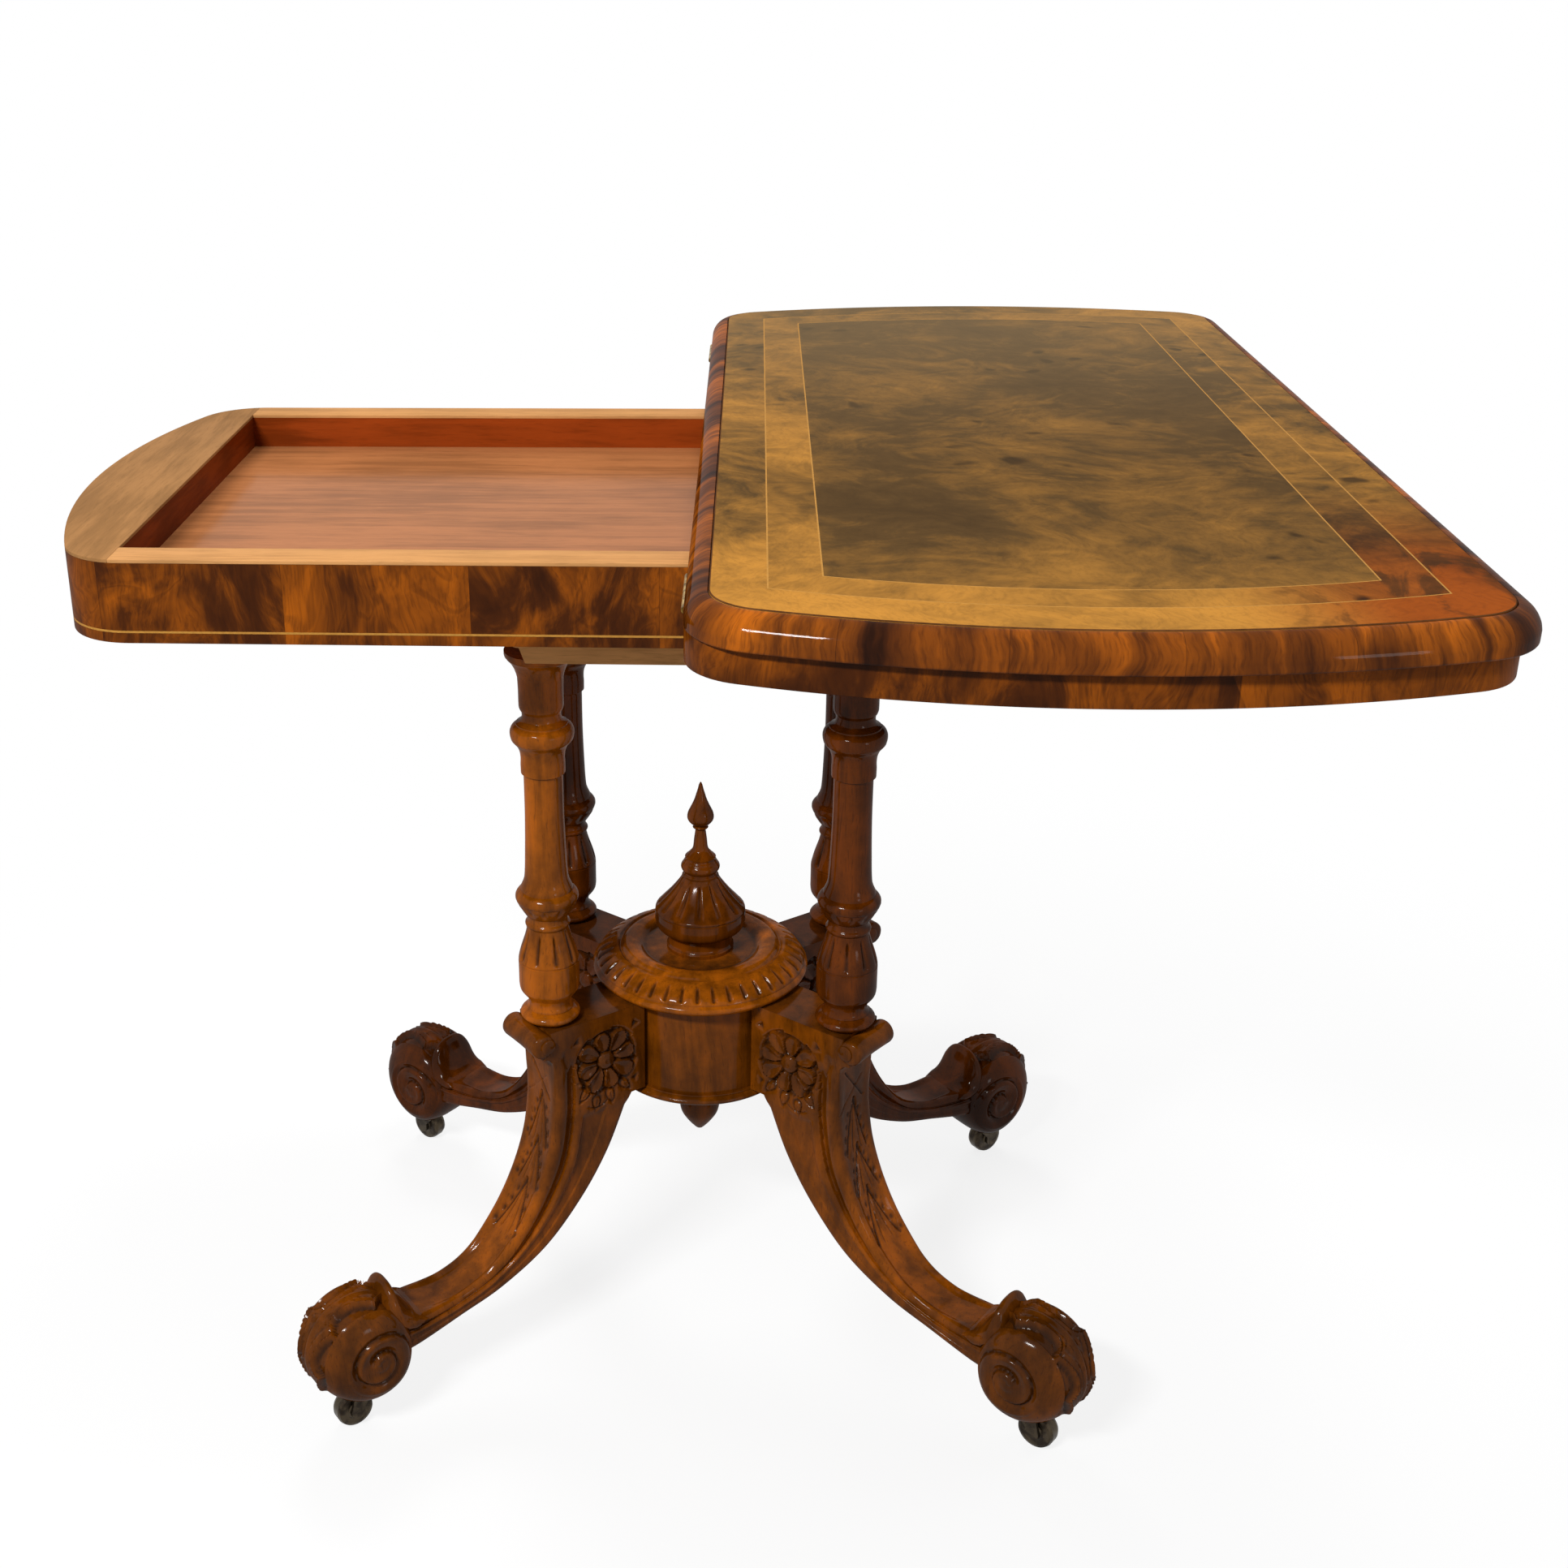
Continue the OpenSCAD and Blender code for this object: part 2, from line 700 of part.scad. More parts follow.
// Turned column: profile heights run up from the shoulder, then down from the bearer
function column_profile() = concat(
  [[0, 0], [col_neck_r, 0]],
  bead(0.5, 11, col_neck_r + 1, col_ring_r - 0.5),
  [[col_neck_r, 12], [col_neck_r, 17]],
  [[col_neck_r + 2, 20], [col_pear_r - 1, 25], [col_pear_r, 31], [col_pear_r, 49]],
  [[col_pear_r - 0.8, 50], [col_pear_r - 2, 59], [col_pear_r - 5.5, 69], [col_neck_r - 0.8, 77]],
  bead(78, 87, col_neck_r - 0.8, col_neck_r + 1),
  [[col_neck_r, 89], [col_ring_r - 4, 93], [col_ring_r - 1.5, 97], [col_ring_r, 101]],
  [[col_ring_r, 105], [col_ring_r - 3.5, 111], [col_neck_r, 117], [col_shaft_r + 1.3, 129]],
  [[col_shaft_r + 0.6, 147], [col_shaft_r, 168], [col_shaft_r, column_h - 97]],
  [[col_neck_r, column_h - 94], [col_neck_r, column_h - 80], [col_neck_r + 2, column_h - 74]],
  bead(column_h - 72, column_h - 56, col_ring_r - 3, col_ring_r),
  [[col_neck_r - 1, column_h - 53], [col_neck_r - 1, column_h - 46], [col_neck_r, column_h - 42]],
  [[col_neck_r, column_h - 22], [col_neck_r + 1.5, column_h - 14], [col_neck_r + 4, column_h - 8]],
  [[col_cap_r - 1.5, column_h - 5], [col_cap_r, column_h - 3], [col_cap_r, column_h], [0, column_h]]
);
module column(sx, sy) {
  color(walnut)
    translate([sx * column_x, sy * column_y, leg_top_z]) {
      difference() {
        rotate_extrude()
          polygon(column_profile());
        for (i = [0:col_flutes - 1])
          rotate([0, 0, i * 360 / col_flutes])
            translate([col_pear_r + 0.1, 0, 48])
              rotate([0, -13.5, 0])
                cylinder(r1 = 1.9, r2 = 0.8, h = 21, $fn = 16);
      }
      for (z = [-col_pin_l, column_h - eps])
        translate([0, 0, z])
          cylinder(r = col_pin_r, h = col_pin_l + eps);
    }
}
module column_fl() { column(LEFT, FRONT); }
module column_fr() { column(RIGHT, FRONT); }
module column_bl() { column(LEFT, BACK); }
module column_br() { column(RIGHT, BACK); }

// Drum, mortised for the four legs' tongues and bored for the finial and pendant
module drum() {
  color(walnut)
    difference() {
      translate([0, 0, drum_bottom])
        cylinder(r = drum_r, h = drum_h);
      for (sx = [LEFT, RIGHT], sy = [FRONT, BACK])
        rotate([0, 0, foot_angle(sx, sy)])
          box(drum_r - tongue_l - joint_fit, drum_r + 10, -tongue_t / 2 - joint_fit,
            tongue_t / 2 + joint_fit, tongue_bottom - joint_fit, tongue_top + joint_fit);
      translate([0, 0, dish_z - spigot_l - disc_dish_h])
        cylinder(r = spigot_r + joint_fit, h = spigot_l + disc_dish_h);
      translate([0, 0, drum_bottom - 1])
        cylinder(r = spigot_r + joint_fit, h = spigot_l - rim_h + 1 + joint_fit);
    }
}

// Top disc: a convex gouged rim round a beaded dish
module top_disc() {
  dish_r = cone_r - 11;
  color(walnut)
    translate([0, 0, drum_top])
      difference() {
        rotate_extrude()
          polygon(concat(
            [[0, 0], [disc_r - 4, 0]],
            bead(0.6, disc_rim_h - 1, disc_r - 2.5, disc_r),
            [[disc_r - 2.6, disc_rim_h], [disc_r - 6, disc_rim_h + 4], [disc_r - 11, disc_rim_h + 7.6]],
            [[disc_r - 16, disc_rim_h + 10.2], [disc_r - 20, disc_rim_h + 11.2]],
            [[disc_r - 21, disc_rim_h + 10], [disc_r - 23, disc_rim_h + 11]],
            [[disc_r - 26, disc_rim_h + 13], [disc_r - 33, disc_rim_h + 13.4]],
            [[disc_r - 37, disc_rim_h + 12], [disc_r - 40, disc_dish_h]],
            [[0, disc_dish_h]]
          ));
        for (i = [0:disc_gouges - 1])
          rotate([0, 0, i * 360 / disc_gouges])
            translate([disc_r - 2.2, 0, disc_rim_h + 2.4])
              rotate([0, -58, 0])
                cylinder(r1 = 2, r2 = 1.1, h = 14, $fn = 13);
        translate([0, 0, -1])
          cylinder(r = spigot_r + joint_fit, h = disc_dish_h + 2);
      }
}

module bottom_disc() {
  color(walnut)
    difference() {
      translate([0, 0, rim_bottom])
        rotate_extrude()
          polygon(concat([[0, 0], [rim_r - 5, 0]], bead(1, rim_h - 2, rim_r - 3, rim_r), [[rim_r - 3, rim_h], [0, rim_h]]));
      translate([0, 0, rim_bottom - 1])
        cylinder(r = spigot_r + joint_fit, h = rim_h + 2);
    }
}

// Finial: a fluted cone on a spigot, and a spire pinned into it
spire_pin_r = 5;
spire_pin_l = 16;
module finial_cone() {
  color(walnut)
    difference() {
      union() {
        translate([0, 0, dish_z])
          rotate_extrude()
            polygon(concat(
              [[0, 0], [cone_r - 9, 0], [cone_r - 9, 3], [cone_r - 11, 5], [cone_r - 11, 13]],
              [[cone_r - 4, 17], [cone_r - 1, 20], [cone_r, 24], [cone_r, 32], [cone_r - 1, 34]],
              [[cone_r - 6, 40], [cone_r - 15, 51], [cone_r - 20.6, 59], [cone_r - 22, 62]],
              bead(64, 73, cone_r - 22, cone_r - 20),
              [[cone_r - 23, cone_h], [0, cone_h]]
            ));
        translate([0, 0, dish_z - spigot_l - disc_dish_h + joint_fit])
          cylinder(r = spigot_r, h = spigot_l + disc_dish_h);
      }
      for (i = [0:cone_flutes - 1])
        rotate([0, 0, i * 360 / cone_flutes])
          translate([cone_r - 1.8, 0, dish_z + 36])
            rotate([0, -38, 0])
              cylinder(r1 = 1.9, r2 = 0.9, h = 23, $fn = 16);
      translate([0, 0, dish_z + cone_h - spire_pin_l - joint_fit])
        cylinder(r = spire_pin_r + joint_fit, h = spire_pin_l + 1);
    }
}
module finial_spire() {
  color(walnut)
    translate([0, 0, dish_z + cone_h]) {
      rotate_extrude()
        polygon([
          [0, 0], [11.9, 0], [11.2, 1.5], [8.7, 4], [5.6, 8], [4.7, 16], [3.7, 24], [4.4, 26.5],
          [6.8, 28.5], [9.6, 31.5], [10.2, 35], [9.4, 38.5], [8, 41], [6.2, 45], [4.6, 49],
          [3.4, 53], [2.2, 57], [1.2, 61], [0, 63]
        ]);
      translate([0, 0, -spire_pin_l])
        cylinder(r = spire_pin_r, h = spire_pin_l + eps);
    }
}
module pendant() {
  color(walnut) {
    translate([0, 0, rim_bottom - pendant_h])
      rotate_extrude()
        polygon([
          [0, 0], [3, 1.2], [pendant_r - 11, 8], [pendant_r - 6.5, 15], [pendant_r - 4.6, 20],
          [pendant_r - 4, 26], [pendant_r - 5, 36], [pendant_r - 4, 46], [pendant_r - 1, pendant_h - 12],
          [pendant_r, pendant_h - 8], [pendant_r, pendant_h], [0, pendant_h]
        ]);
    translate([0, 0, rim_bottom - eps])
      cylinder(r = spigot_r, h = spigot_l + eps);
  }
}

// Scroll leg, drawn along +X: s runs out from the pedestal's axis, y across the leg.
// Each curve is given as shares of the way from the drum to the scroll's eye.
function leg_point(fs, fz) = [leg_root_s + (foot_s - leg_root_s) * fs, foot_z + (root_z - foot_z) * fz];
leg_inner = [
  leg_point(0, 1), leg_point(0.043, 0.853), leg_point(0.115, 0.632), leg_point(0.217, 0.423),
  leg_point(0.357, 0.227), leg_point(0.528, 0.098), leg_point(0.689, 0.031), leg_point(0.847, -0.03),
  leg_point(0.915, -0.04)
];
leg_outer = [
  [leg_face_s - 1.5, root_z + 30], leg_point(0.313, 0.957), leg_point(0.332, 0.742),
  leg_point(0.383, 0.54), leg_point(0.46, 0.356), leg_point(0.562, 0.209), leg_point(0.681, 0.135),
  leg_point(0.817, 0.117), leg_point(0.885, 0.12)
];
loft_steps = 3;

// Half section of the leg from its underside to its outer face: share of depth, share of half thickness
leg_section = [
  [0, 0.78], [0.07, 0.92], [0.4, 0.92], [0.48, 0.8], [0.56, 0.96], [0.78, 1], [0.93, 0.88], [1, 0.6]
];
module leg_sweep() {
  inner = curve(leg_inner, loft_steps);
  outer = curve(leg_outer, loft_steps);
  half = leg_t / 2 - 0.6;
  loop = concat(leg_section, [for (i = [len(leg_section) - 1:-1:0]) [leg_section[i][0], -leg_section[i][1]]]);
  n = len(inner);
  m = len(loop);
  pts = [
    for (i = [0:n - 1], q = loop)
      let (p = inner[i] + (outer[i] - inner[i]) * q[0])
        [p[0], half * q[1], p[1]]
  ];
  sides = [
    for (i = [0:n - 2], j = [0:m - 1])
      let (j1 = (j + 1) % m)
        [i * m + j1, i * m + j, (i + 1) * m + j, (i + 1) * m + j1]
  ];
  first = [for (j = [0:m - 1]) j];
  last = [for (j = [m - 1:-1:0]) (n - 1) * m + j];
  polyhedron(points = pts, faces = concat([first], sides, [last]), convexity = 6);
}

// The shoulder that carries a column, with the cove under the roll
module leg_shoulder() {
  roll_s = leg_face_s + 9;
  roll_z = leg_top_z - roll_r - 0.8;
  rotate([90, 0, 0])
    linear_extrude(leg_t, center = true)
      polygon(concat(
        [[drum_r - 6, leg_top_z], [drum_r - 6, drum_bottom + 0.4], [leg_root_s + 5, drum_bottom + 0.4]],
        [[leg_root_s + 12, drum_bottom - 3], [leg_face_s - 10, root_z - 8], [leg_face_s, root_z + 4]],
        [[leg_face_s, roll_z - 19]],
        arc(roll_s, roll_z - 19, 9, 180, 90, 5),
        [[roll_s + 2, roll_z], [roll_s - 6, roll_z + 2], [roll_s - 6, leg_top_z]]
      ));
  translate([roll_s, 0, roll_z])
    rotate([90, 0, 0])
      cylinder(r = roll_r, h = leg_t + 5, center = true);
}

// The foot: a barrel across the leg, with the carved leaf's swelling over its toe.
// Each ring is the foot's outline at one distance y from the leg's middle plane.
foot_rings = 10;
foot_points = 30;
function foot_radius(a, y) = let (
    swell = foot_t / 2 * 1.35,
    leaf = a > -10 && a < 130 ? sin(180 * (a + 10) / 140) : 0,
    middle = max(0, 1 - pow(y / (foot_t * 0.42), 4))
  ) foot_r * sqrt(1 - y * y / (swell * swell)) + leaf_rise * leaf * middle;
module foot_barrel() {
  half = foot_t / 2;
  pts = [
    for (i = [0:foot_rings], j = [0:foot_points - 1])
      let (y = half * sin(-90 + 180 * i / foot_rings), a = 180 - 360 * j / foot_points, r = foot_radius(a, y))
        [foot_s + r * cos(a), y, foot_z + r * sin(a)]
  ];
  sides = [
    for (i = [0:foot_rings - 1], j = [0:foot_points - 1])
      let (j1 = (j + 1) % foot_points, p = i * foot_points, q = p + foot_points)
        [p + j1, p + j, q + j, q + j1]
  ];
  first = [for (j = [0:foot_points - 1]) j];
  last = [for (j = [foot_points - 1:-1:0]) foot_rings * foot_points + j];
  polyhedron(points = pts, faces = concat([first], sides, [last]), convexity = 4);
}

// The raised coil of a volute, as it turns in to the eye
volute_r = foot_r * 0.64;
function coil(a, inset) = let (r = volute_r * (1 - 0.78 * a / (360 * volute_turns)) - inset)
  [r * cos(200 - a), r * sin(200 - a)];
module volute() {
  steps = 28;
  turn = 360 * volute_turns;
  edge = [for (i = [0:steps]) coil(turn * i / steps, 0)];
  back = [for (i = [steps:-1:0]) coil(turn * i / steps, 6.2 - 3.6 * i / steps)];
  linear_extrude(volute_t + 2)
    polygon(concat(edge, back));
  cylinder(r = 5.4, h = volute_t + 3);
}

module leg(sx, sy) {
  color(walnut)
    rotate([0, 0, foot_angle(sx, sy)]) {
      difference() {
        union() {
          difference() {
            leg_shoulder();
            translate([column_reach, 0, leg_top_z - col_pin_l - joint_fit])
              cylinder(r = col_pin_r + joint_fit, h = col_pin_l + 2);
          }
          leg_sweep();
          difference() {
            foot_barrel();
            translate([castor_s, 0, -1])
              cylinder(r = pocket_r, h = pocket_z + 1);
            translate([castor_s, 0, pocket_z - 1])
              cylinder(r = stem_r + pin_fit, h = stem_l + 2);
          }
          translate([foot_s - 27, 0, foot_z + 35])
            rotate([90, 0, 0])
              cylinder(r = collar_r, h = leg_t + 3, center = true);
          for (side = [-1, 1])
            translate([foot_s, side * (foot_t / 2 - 2), foot_z])
              rotate([side * -90, 0, 0])
                mirror([0, side > 0 ? 1 : 0, 0])
                  volute();
        }
        translate([0, 0, drum_bottom - 20])
          cylinder(r = drum_r + joint_fit, h = drum_h + 40);
      }
      box(drum_r - tongue_l, drum_r + 4, -tongue_t / 2, tongue_t / 2, tongue_bottom, tongue_top);
    }
}
module leg_fl() { leg(LEFT, FRONT); }
module leg_fr() { leg(RIGHT, FRONT); }
module leg_bl() { leg(LEFT, BACK); }
module leg_br() { leg(RIGHT, BACK); }

// Castors
module at_castor(sx, sy) {
  rotate([0, 0, foot_angle(sx, sy)])
    translate([castor_s, 0, 0])
      children();
}
module castor_plates() {
  color(iron_tone)
    for (sx = [LEFT, RIGHT], sy = [FRONT, BACK])
      at_castor(sx, sy)
        translate([0, 0, plate_z])
          difference() {
            cylinder(r = pocket_r - 3, h = plate_t);
            translate([0, 0, -1])
              cylinder(r = stem_r + pin_fit, h = plate_t + 2);
          }
}
module castor_cheek() {
  rotate([90, 0, 0]) {
    linear_extrude(cheek_t)
      polygon([
        [-8, crown_z + 0.5], [8, crown_z + 0.5], [trail + cheek_r, wheel_r + 2], [trail + cheek_r, wheel_r - 1],
        [trail - cheek_r, wheel_r - 1], [trail - cheek_r, wheel_r + 4], [-7, crown_z - 3]
      ]);
    translate([trail, wheel_r, 0])
      cylinder(r = cheek_r, h = cheek_t);
  }
}
module castor_fork(sx, sy) {
  color(iron_tone)
    at_castor(sx, sy) {
      translate([0, 0, crown_z])
        cylinder(r = crown_r, h = crown_t);
      translate([0, 0, crown_z + crown_t - eps])
        cylinder(r = stem_r, h = stem_l + plate_t - crown_t + 2);
      translate([0, fork_half, 0])
        castor_cheek();
      translate([0, cheek_t - fork_half, 0])
        castor_cheek();
      translate([trail, 0, wheel_r])
        rotate([90, 0, 0])
          cylinder(r = axle_r, h = 2 * fork_half, center = true);
    }
}
module castor_fork_fl() { castor_fork(LEFT, FRONT); }
module castor_fork_fr() { castor_fork(RIGHT, FRONT); }
module castor_fork_bl() { castor_fork(LEFT, BACK); }
module castor_fork_br() { castor_fork(RIGHT, BACK); }

module castor_wheel(sx, sy) {
  half = wheel_w / 2;
  color(iron_tone)
    at_castor(sx, sy)
      translate([trail, 0, wheel_r])
        rotate([90, 0, 0])
          rotate_extrude()
            polygon([
              [axle_r + pin_fit, -half], [hub_r, -half], [hub_r + 1, 1 - half], [wheel_r - 3, 1 - half],
              [wheel_r - 1, 1.6 - half], [wheel_r, 4 - half], [wheel_r, half - 4], [wheel_r - 1, half - 1.6],
              [wheel_r - 3, half - 1], [hub_r + 1, half - 1], [hub_r, half], [axle_r + pin_fit, half]
            ]);
}
module castor_wheel_fl() { castor_wheel(LEFT, FRONT); }
module castor_wheel_fr() { castor_wheel(RIGHT, FRONT); }
module castor_wheel_bl() { castor_wheel(LEFT, BACK); }
module castor_wheel_br() { castor_wheel(RIGHT, BACK); }

upper_panel();
upper_moulding();
upper_baize();
hinge_moving_plates();
lower_leaf();
lower_baize();
hinge_fixed_plates();
hinge_pins();
pivot_plate();
pivot_bolt();
pivot_washer();
pivot_nut();
frieze_front_rail();
frieze_back_rail();
frieze_left_end();
frieze_right_end();
frieze_string();
border_front();
border_back();
border_left();
border_right();
well_floor();
well_lining_front();
well_lining_back();
well_lining_left();
well_lining_right();
pivot_rail();
cross_rail_left();
cross_rail_right();
bearer_front();
bearer_back();
bearer_screws();
column_fl();
column_fr();
column_bl();
column_br();
drum();
top_disc();
bottom_disc();
finial_cone();
finial_spire();
pendant();
leg_fl();
leg_fr();
leg_bl();
leg_br();
castor_plates();
castor_fork_fl();
castor_fork_fr();
castor_fork_bl();
castor_fork_br();
castor_wheel_fl();
castor_wheel_fr();
castor_wheel_bl();
castor_wheel_br();
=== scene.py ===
"""Games table: swivel top on a four-column pedestal with carved scroll legs."""

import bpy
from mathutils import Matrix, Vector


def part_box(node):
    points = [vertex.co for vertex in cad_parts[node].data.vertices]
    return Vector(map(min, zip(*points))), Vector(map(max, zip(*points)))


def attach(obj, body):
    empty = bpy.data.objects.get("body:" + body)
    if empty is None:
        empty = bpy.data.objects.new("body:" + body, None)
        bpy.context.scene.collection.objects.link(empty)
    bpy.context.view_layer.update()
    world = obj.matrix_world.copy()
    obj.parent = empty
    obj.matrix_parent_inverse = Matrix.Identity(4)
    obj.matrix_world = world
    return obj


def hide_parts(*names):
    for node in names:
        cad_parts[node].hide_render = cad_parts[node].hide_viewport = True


bl_info = {
    "name": "Games table",
    "version": (1, 0, 0),
    "blender": (4, 5, 0),
    "location": "View3D > Sidebar > Games table",
    "description": "Builds a swivel-top games table with veneered leaves, turned columns and scroll legs",
    "category": "Add Mesh",
}

import math

import bpy
import numpy as np
from bpy.props import FloatProperty, FloatVectorProperty, IntProperty, PointerProperty
from mathutils import Matrix, Vector

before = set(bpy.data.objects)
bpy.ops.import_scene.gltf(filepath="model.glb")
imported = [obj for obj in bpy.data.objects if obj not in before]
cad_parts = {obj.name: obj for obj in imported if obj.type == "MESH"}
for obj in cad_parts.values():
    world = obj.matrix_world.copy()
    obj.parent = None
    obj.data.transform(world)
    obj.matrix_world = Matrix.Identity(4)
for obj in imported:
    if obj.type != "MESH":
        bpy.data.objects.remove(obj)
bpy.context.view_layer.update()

MM = 0.001
CORNERS = {"fl": (-1, -1), "fr": (1, -1), "bl": (-1, 1), "br": (1, 1)}

# Sizes in millimetres: the baize's border, corners and depth, and the strings' reach from the ends
BAIZE_BORDER, BAIZE_CORNER, BAIZE_DEPTH = 74, 8, 1.5
OUTER_STRING_END, INNER_STRING_END = 48.2, 77.2

# Height of the fold line, and how far out the hinges, the bearers' screws and the castors lie
FOLD, HINGE_Y, CASTOR_REACH = 708.15, 330, 317
SCREW_X, SCREW_Y = 75, 18

# Height of the finial's bed over the top disc's underside, and of the cone on it
DISC_BED, CONE_TALL = 18, 76


def box(node):
    """The low and high corner of a frame node's box, in millimetres."""
    return tuple(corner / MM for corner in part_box(node))


def heights(node):
    """The lowest and highest point of a frame node, in millimetres."""
    return [corner.z for corner in box(node)]


def middle(node):
    """The middle of a frame node, in millimetres."""
    low, high = box(node)
    return (low + high) / 2


def tone(red, green, blue):
    """A colour on the usual scale of 0 to 255, as the linear value a shader wants."""
    return tuple(
        c / 12.92 if c <= 0.04045 else ((c + 0.055) / 1.055) ** 2.4
        for c in (red / 255, green / 255, blue / 255)
    )


# Settings


def size(name, description, millimetres):
    """A length that the sidebar can set."""
    return FloatProperty(name=name, description=description, default=millimetres * MM, unit="LENGTH")


def number(name, description, default):
    """A count that the sidebar can set."""
    return IntProperty(name=name, description=description, default=default)


def colour(name, description, default):
    """A colour that the sidebar can set."""
    return FloatVectorProperty(
        name=name, description=description, subtype="COLOR", size=3, min=0, max=1, default=default
    )


leaf_low, leaf_high = box("upper_moulding")
border_low, border_high = box("border_left")


class TopSettings(bpy.types.PropertyGroup):
    """The folding top"""

    length: size("Leaf length", "Length of a leaf along its fold line", leaf_high.y - leaf_low.y)
    depth: size("Leaf depth", "Depth of a leaf from the fold line", leaf_high.x - leaf_low.x)
    bow: size("Bow of the ends", "How far each end bows out past its corners", 40)
    corner: size("Corner radius", "Radius of a leaf's corners", 48)
    moulding: size("Moulding width", "Width of the thumb moulding round the upper leaf", 13.5)
    outer_string: size("Outer string", "Distance of the outer string from the long edges", 44.5)
    inner_string: size("Inner string", "Distance of the inner string from the long edges", 74)
    string_width: size("String width", "Width of the boxwood strings let into the top", 0.9)


class FriezeSettings(bpy.types.PropertyGroup):
    """The frieze and its well"""

    length: size("Frieze length", "Length of the frieze over its bowed ends", 867)
    depth: size("Frieze depth", "Depth of the frieze from front to back", border_high.y - border_low.y)
    bow: size("Bow of the ends", "How far each end of the frieze bows out", 43)
    corner: size("Corner radius", "Radius of the frieze's corners", 47)
    string_height: size("String height", "Height of the string above the frieze's lower edge", 7.7)


class PedestalSettings(bpy.types.PropertyGroup):
    """The turned and carved pedestal"""

    column_flutes: number("Column flutes", "Flutes round a column's pear", 9)
    column_notches: number("Column notches", "Notches under a column's lower ring", 11)
    disc_gouges: number("Disc gouges", "Gouges round the top disc", 40)
    cone_flutes: number("Cone flutes", "Flutes down the finial's cone", 12)


class LegSettings(bpy.types.PropertyGroup):
    """The carved scroll legs"""

    petals: number("Petals", "Petals of the flower on a shoulder", 8)
    carving: FloatProperty(
        name="Carving", description="How deep the carving is cut, 1 as on the real table", default=1.0
    )


class FinishSettings(bpy.types.PropertyGroup):
    """The woods, metals and cloth"""

    burr_dark: colour("Burr, dark", "Darkest clouds of the burr walnut", tone(84, 60, 28))
    burr_light: colour("Burr, light", "Golden clouds of the burr walnut", tone(186, 128, 50))
    walnut_dark: colour("Walnut, dark", "Dark figure of the straight walnut", tone(56, 24, 5))
    walnut_light: colour("Walnut, light", "Light ground of the straight walnut", tone(152, 78, 10))
    carved: colour("Carved walnut", "Solid walnut of the legs and columns", tone(111, 57, 5))
    well_floor: colour("Well floor", "Worn mahogany of the well's floor", tone(164, 104, 62))
    mahogany: colour("Mahogany", "Linings of the well", tone(140, 58, 16))
    pale: colour("Pale walnut", "Border strips of the frieze", tone(196, 142, 88))
    boxwood: colour("Boxwood", "Strings let into the veneer", tone(182, 130, 58))
    baize: colour("Baize", "Cloth of the playing faces", tone(31, 76, 44))
    brass: colour("Brass", "Hinges", tone(196, 160, 84))
    iron: colour("Bronzed iron", "Castors and swivel", tone(70, 60, 46))


# Ways of making a piece


def deselect():
    """Leaves object mode on and nothing selected, so that an operator acts only on the new piece."""
    if bpy.context.object and bpy.context.object.mode != "OBJECT":
        bpy.ops.object.mode_set(mode="OBJECT")
    bpy.ops.object.select_all(action="DESELECT")


def pick(piece):
    deselect()
    piece.select_set(True)
    bpy.context.view_layer.objects.active = piece


def new_piece(name):
    """Names the primitive that was just added."""
    piece = bpy.context.active_object
    piece.name = name
    piece.data.name = name
    return piece


def place_points(piece, points):
    """Moves a mesh's points to places given in millimetres."""
    metres = (np.asarray(points, float) * MM).astype(np.float32)
    piece.data.vertices.foreach_set("co", metres.ravel())
    piece.data.update()


def read_points(piece):
    """A mesh's points in millimetres."""
    points = np.empty(len(piece.data.vertices) * 3, np.float32)
    piece.data.vertices.foreach_get("co", points)
    return points.reshape(-1, 3).astype(float) / MM


def mark_hollows(piece, deep):
    """Keeps how deep each point lies in the carving, for its finish to darken."""
    layer = piece.data.attributes.new("hollow", "FLOAT", "POINT")
    layer.data.foreach_set("value", np.asarray(deep, np.float32).ravel())


def mark_level_faces(piece):
    """Puts the faces that lie level on the piece's second slot."""
    for face in piece.data.polygons:
        if abs(face.normal.z) > 0.99:
            face.material_index = 1


def close_mesh(piece, fill=True):
    """Merges doubles, closes open ends and turns the faces outwards."""
    pick(piece)
    bpy.ops.object.mode_set(mode="EDIT")
    bpy.ops.mesh.select_all(action="SELECT")
    bpy.ops.mesh.remove_doubles(threshold=0.000002)
    if fill:
        bpy.ops.mesh.fill_holes(sides=0)
        bpy.ops.mesh.select_all(action="SELECT")
    bpy.ops.mesh.normals_make_consistent(inside=False)
    bpy.ops.object.mode_set(mode="OBJECT")


def smooth(piece, angle=32):
    pick(piece)
    bpy.ops.object.shade_smooth_by_angle(angle=math.radians(angle))


def settle(piece):
    """Applies a piece's place, turn and size to its mesh."""
    pick(piece)
    bpy.ops.object.transform_apply(location=True, rotation=True, scale=True)


def steps_along(line):
    """Distance from the first point along a line of points."""
    line = np.asarray(line, float)
    return np.concatenate([[0], np.cumsum(np.linalg.norm(np.diff(line, axis=0), axis=1))])


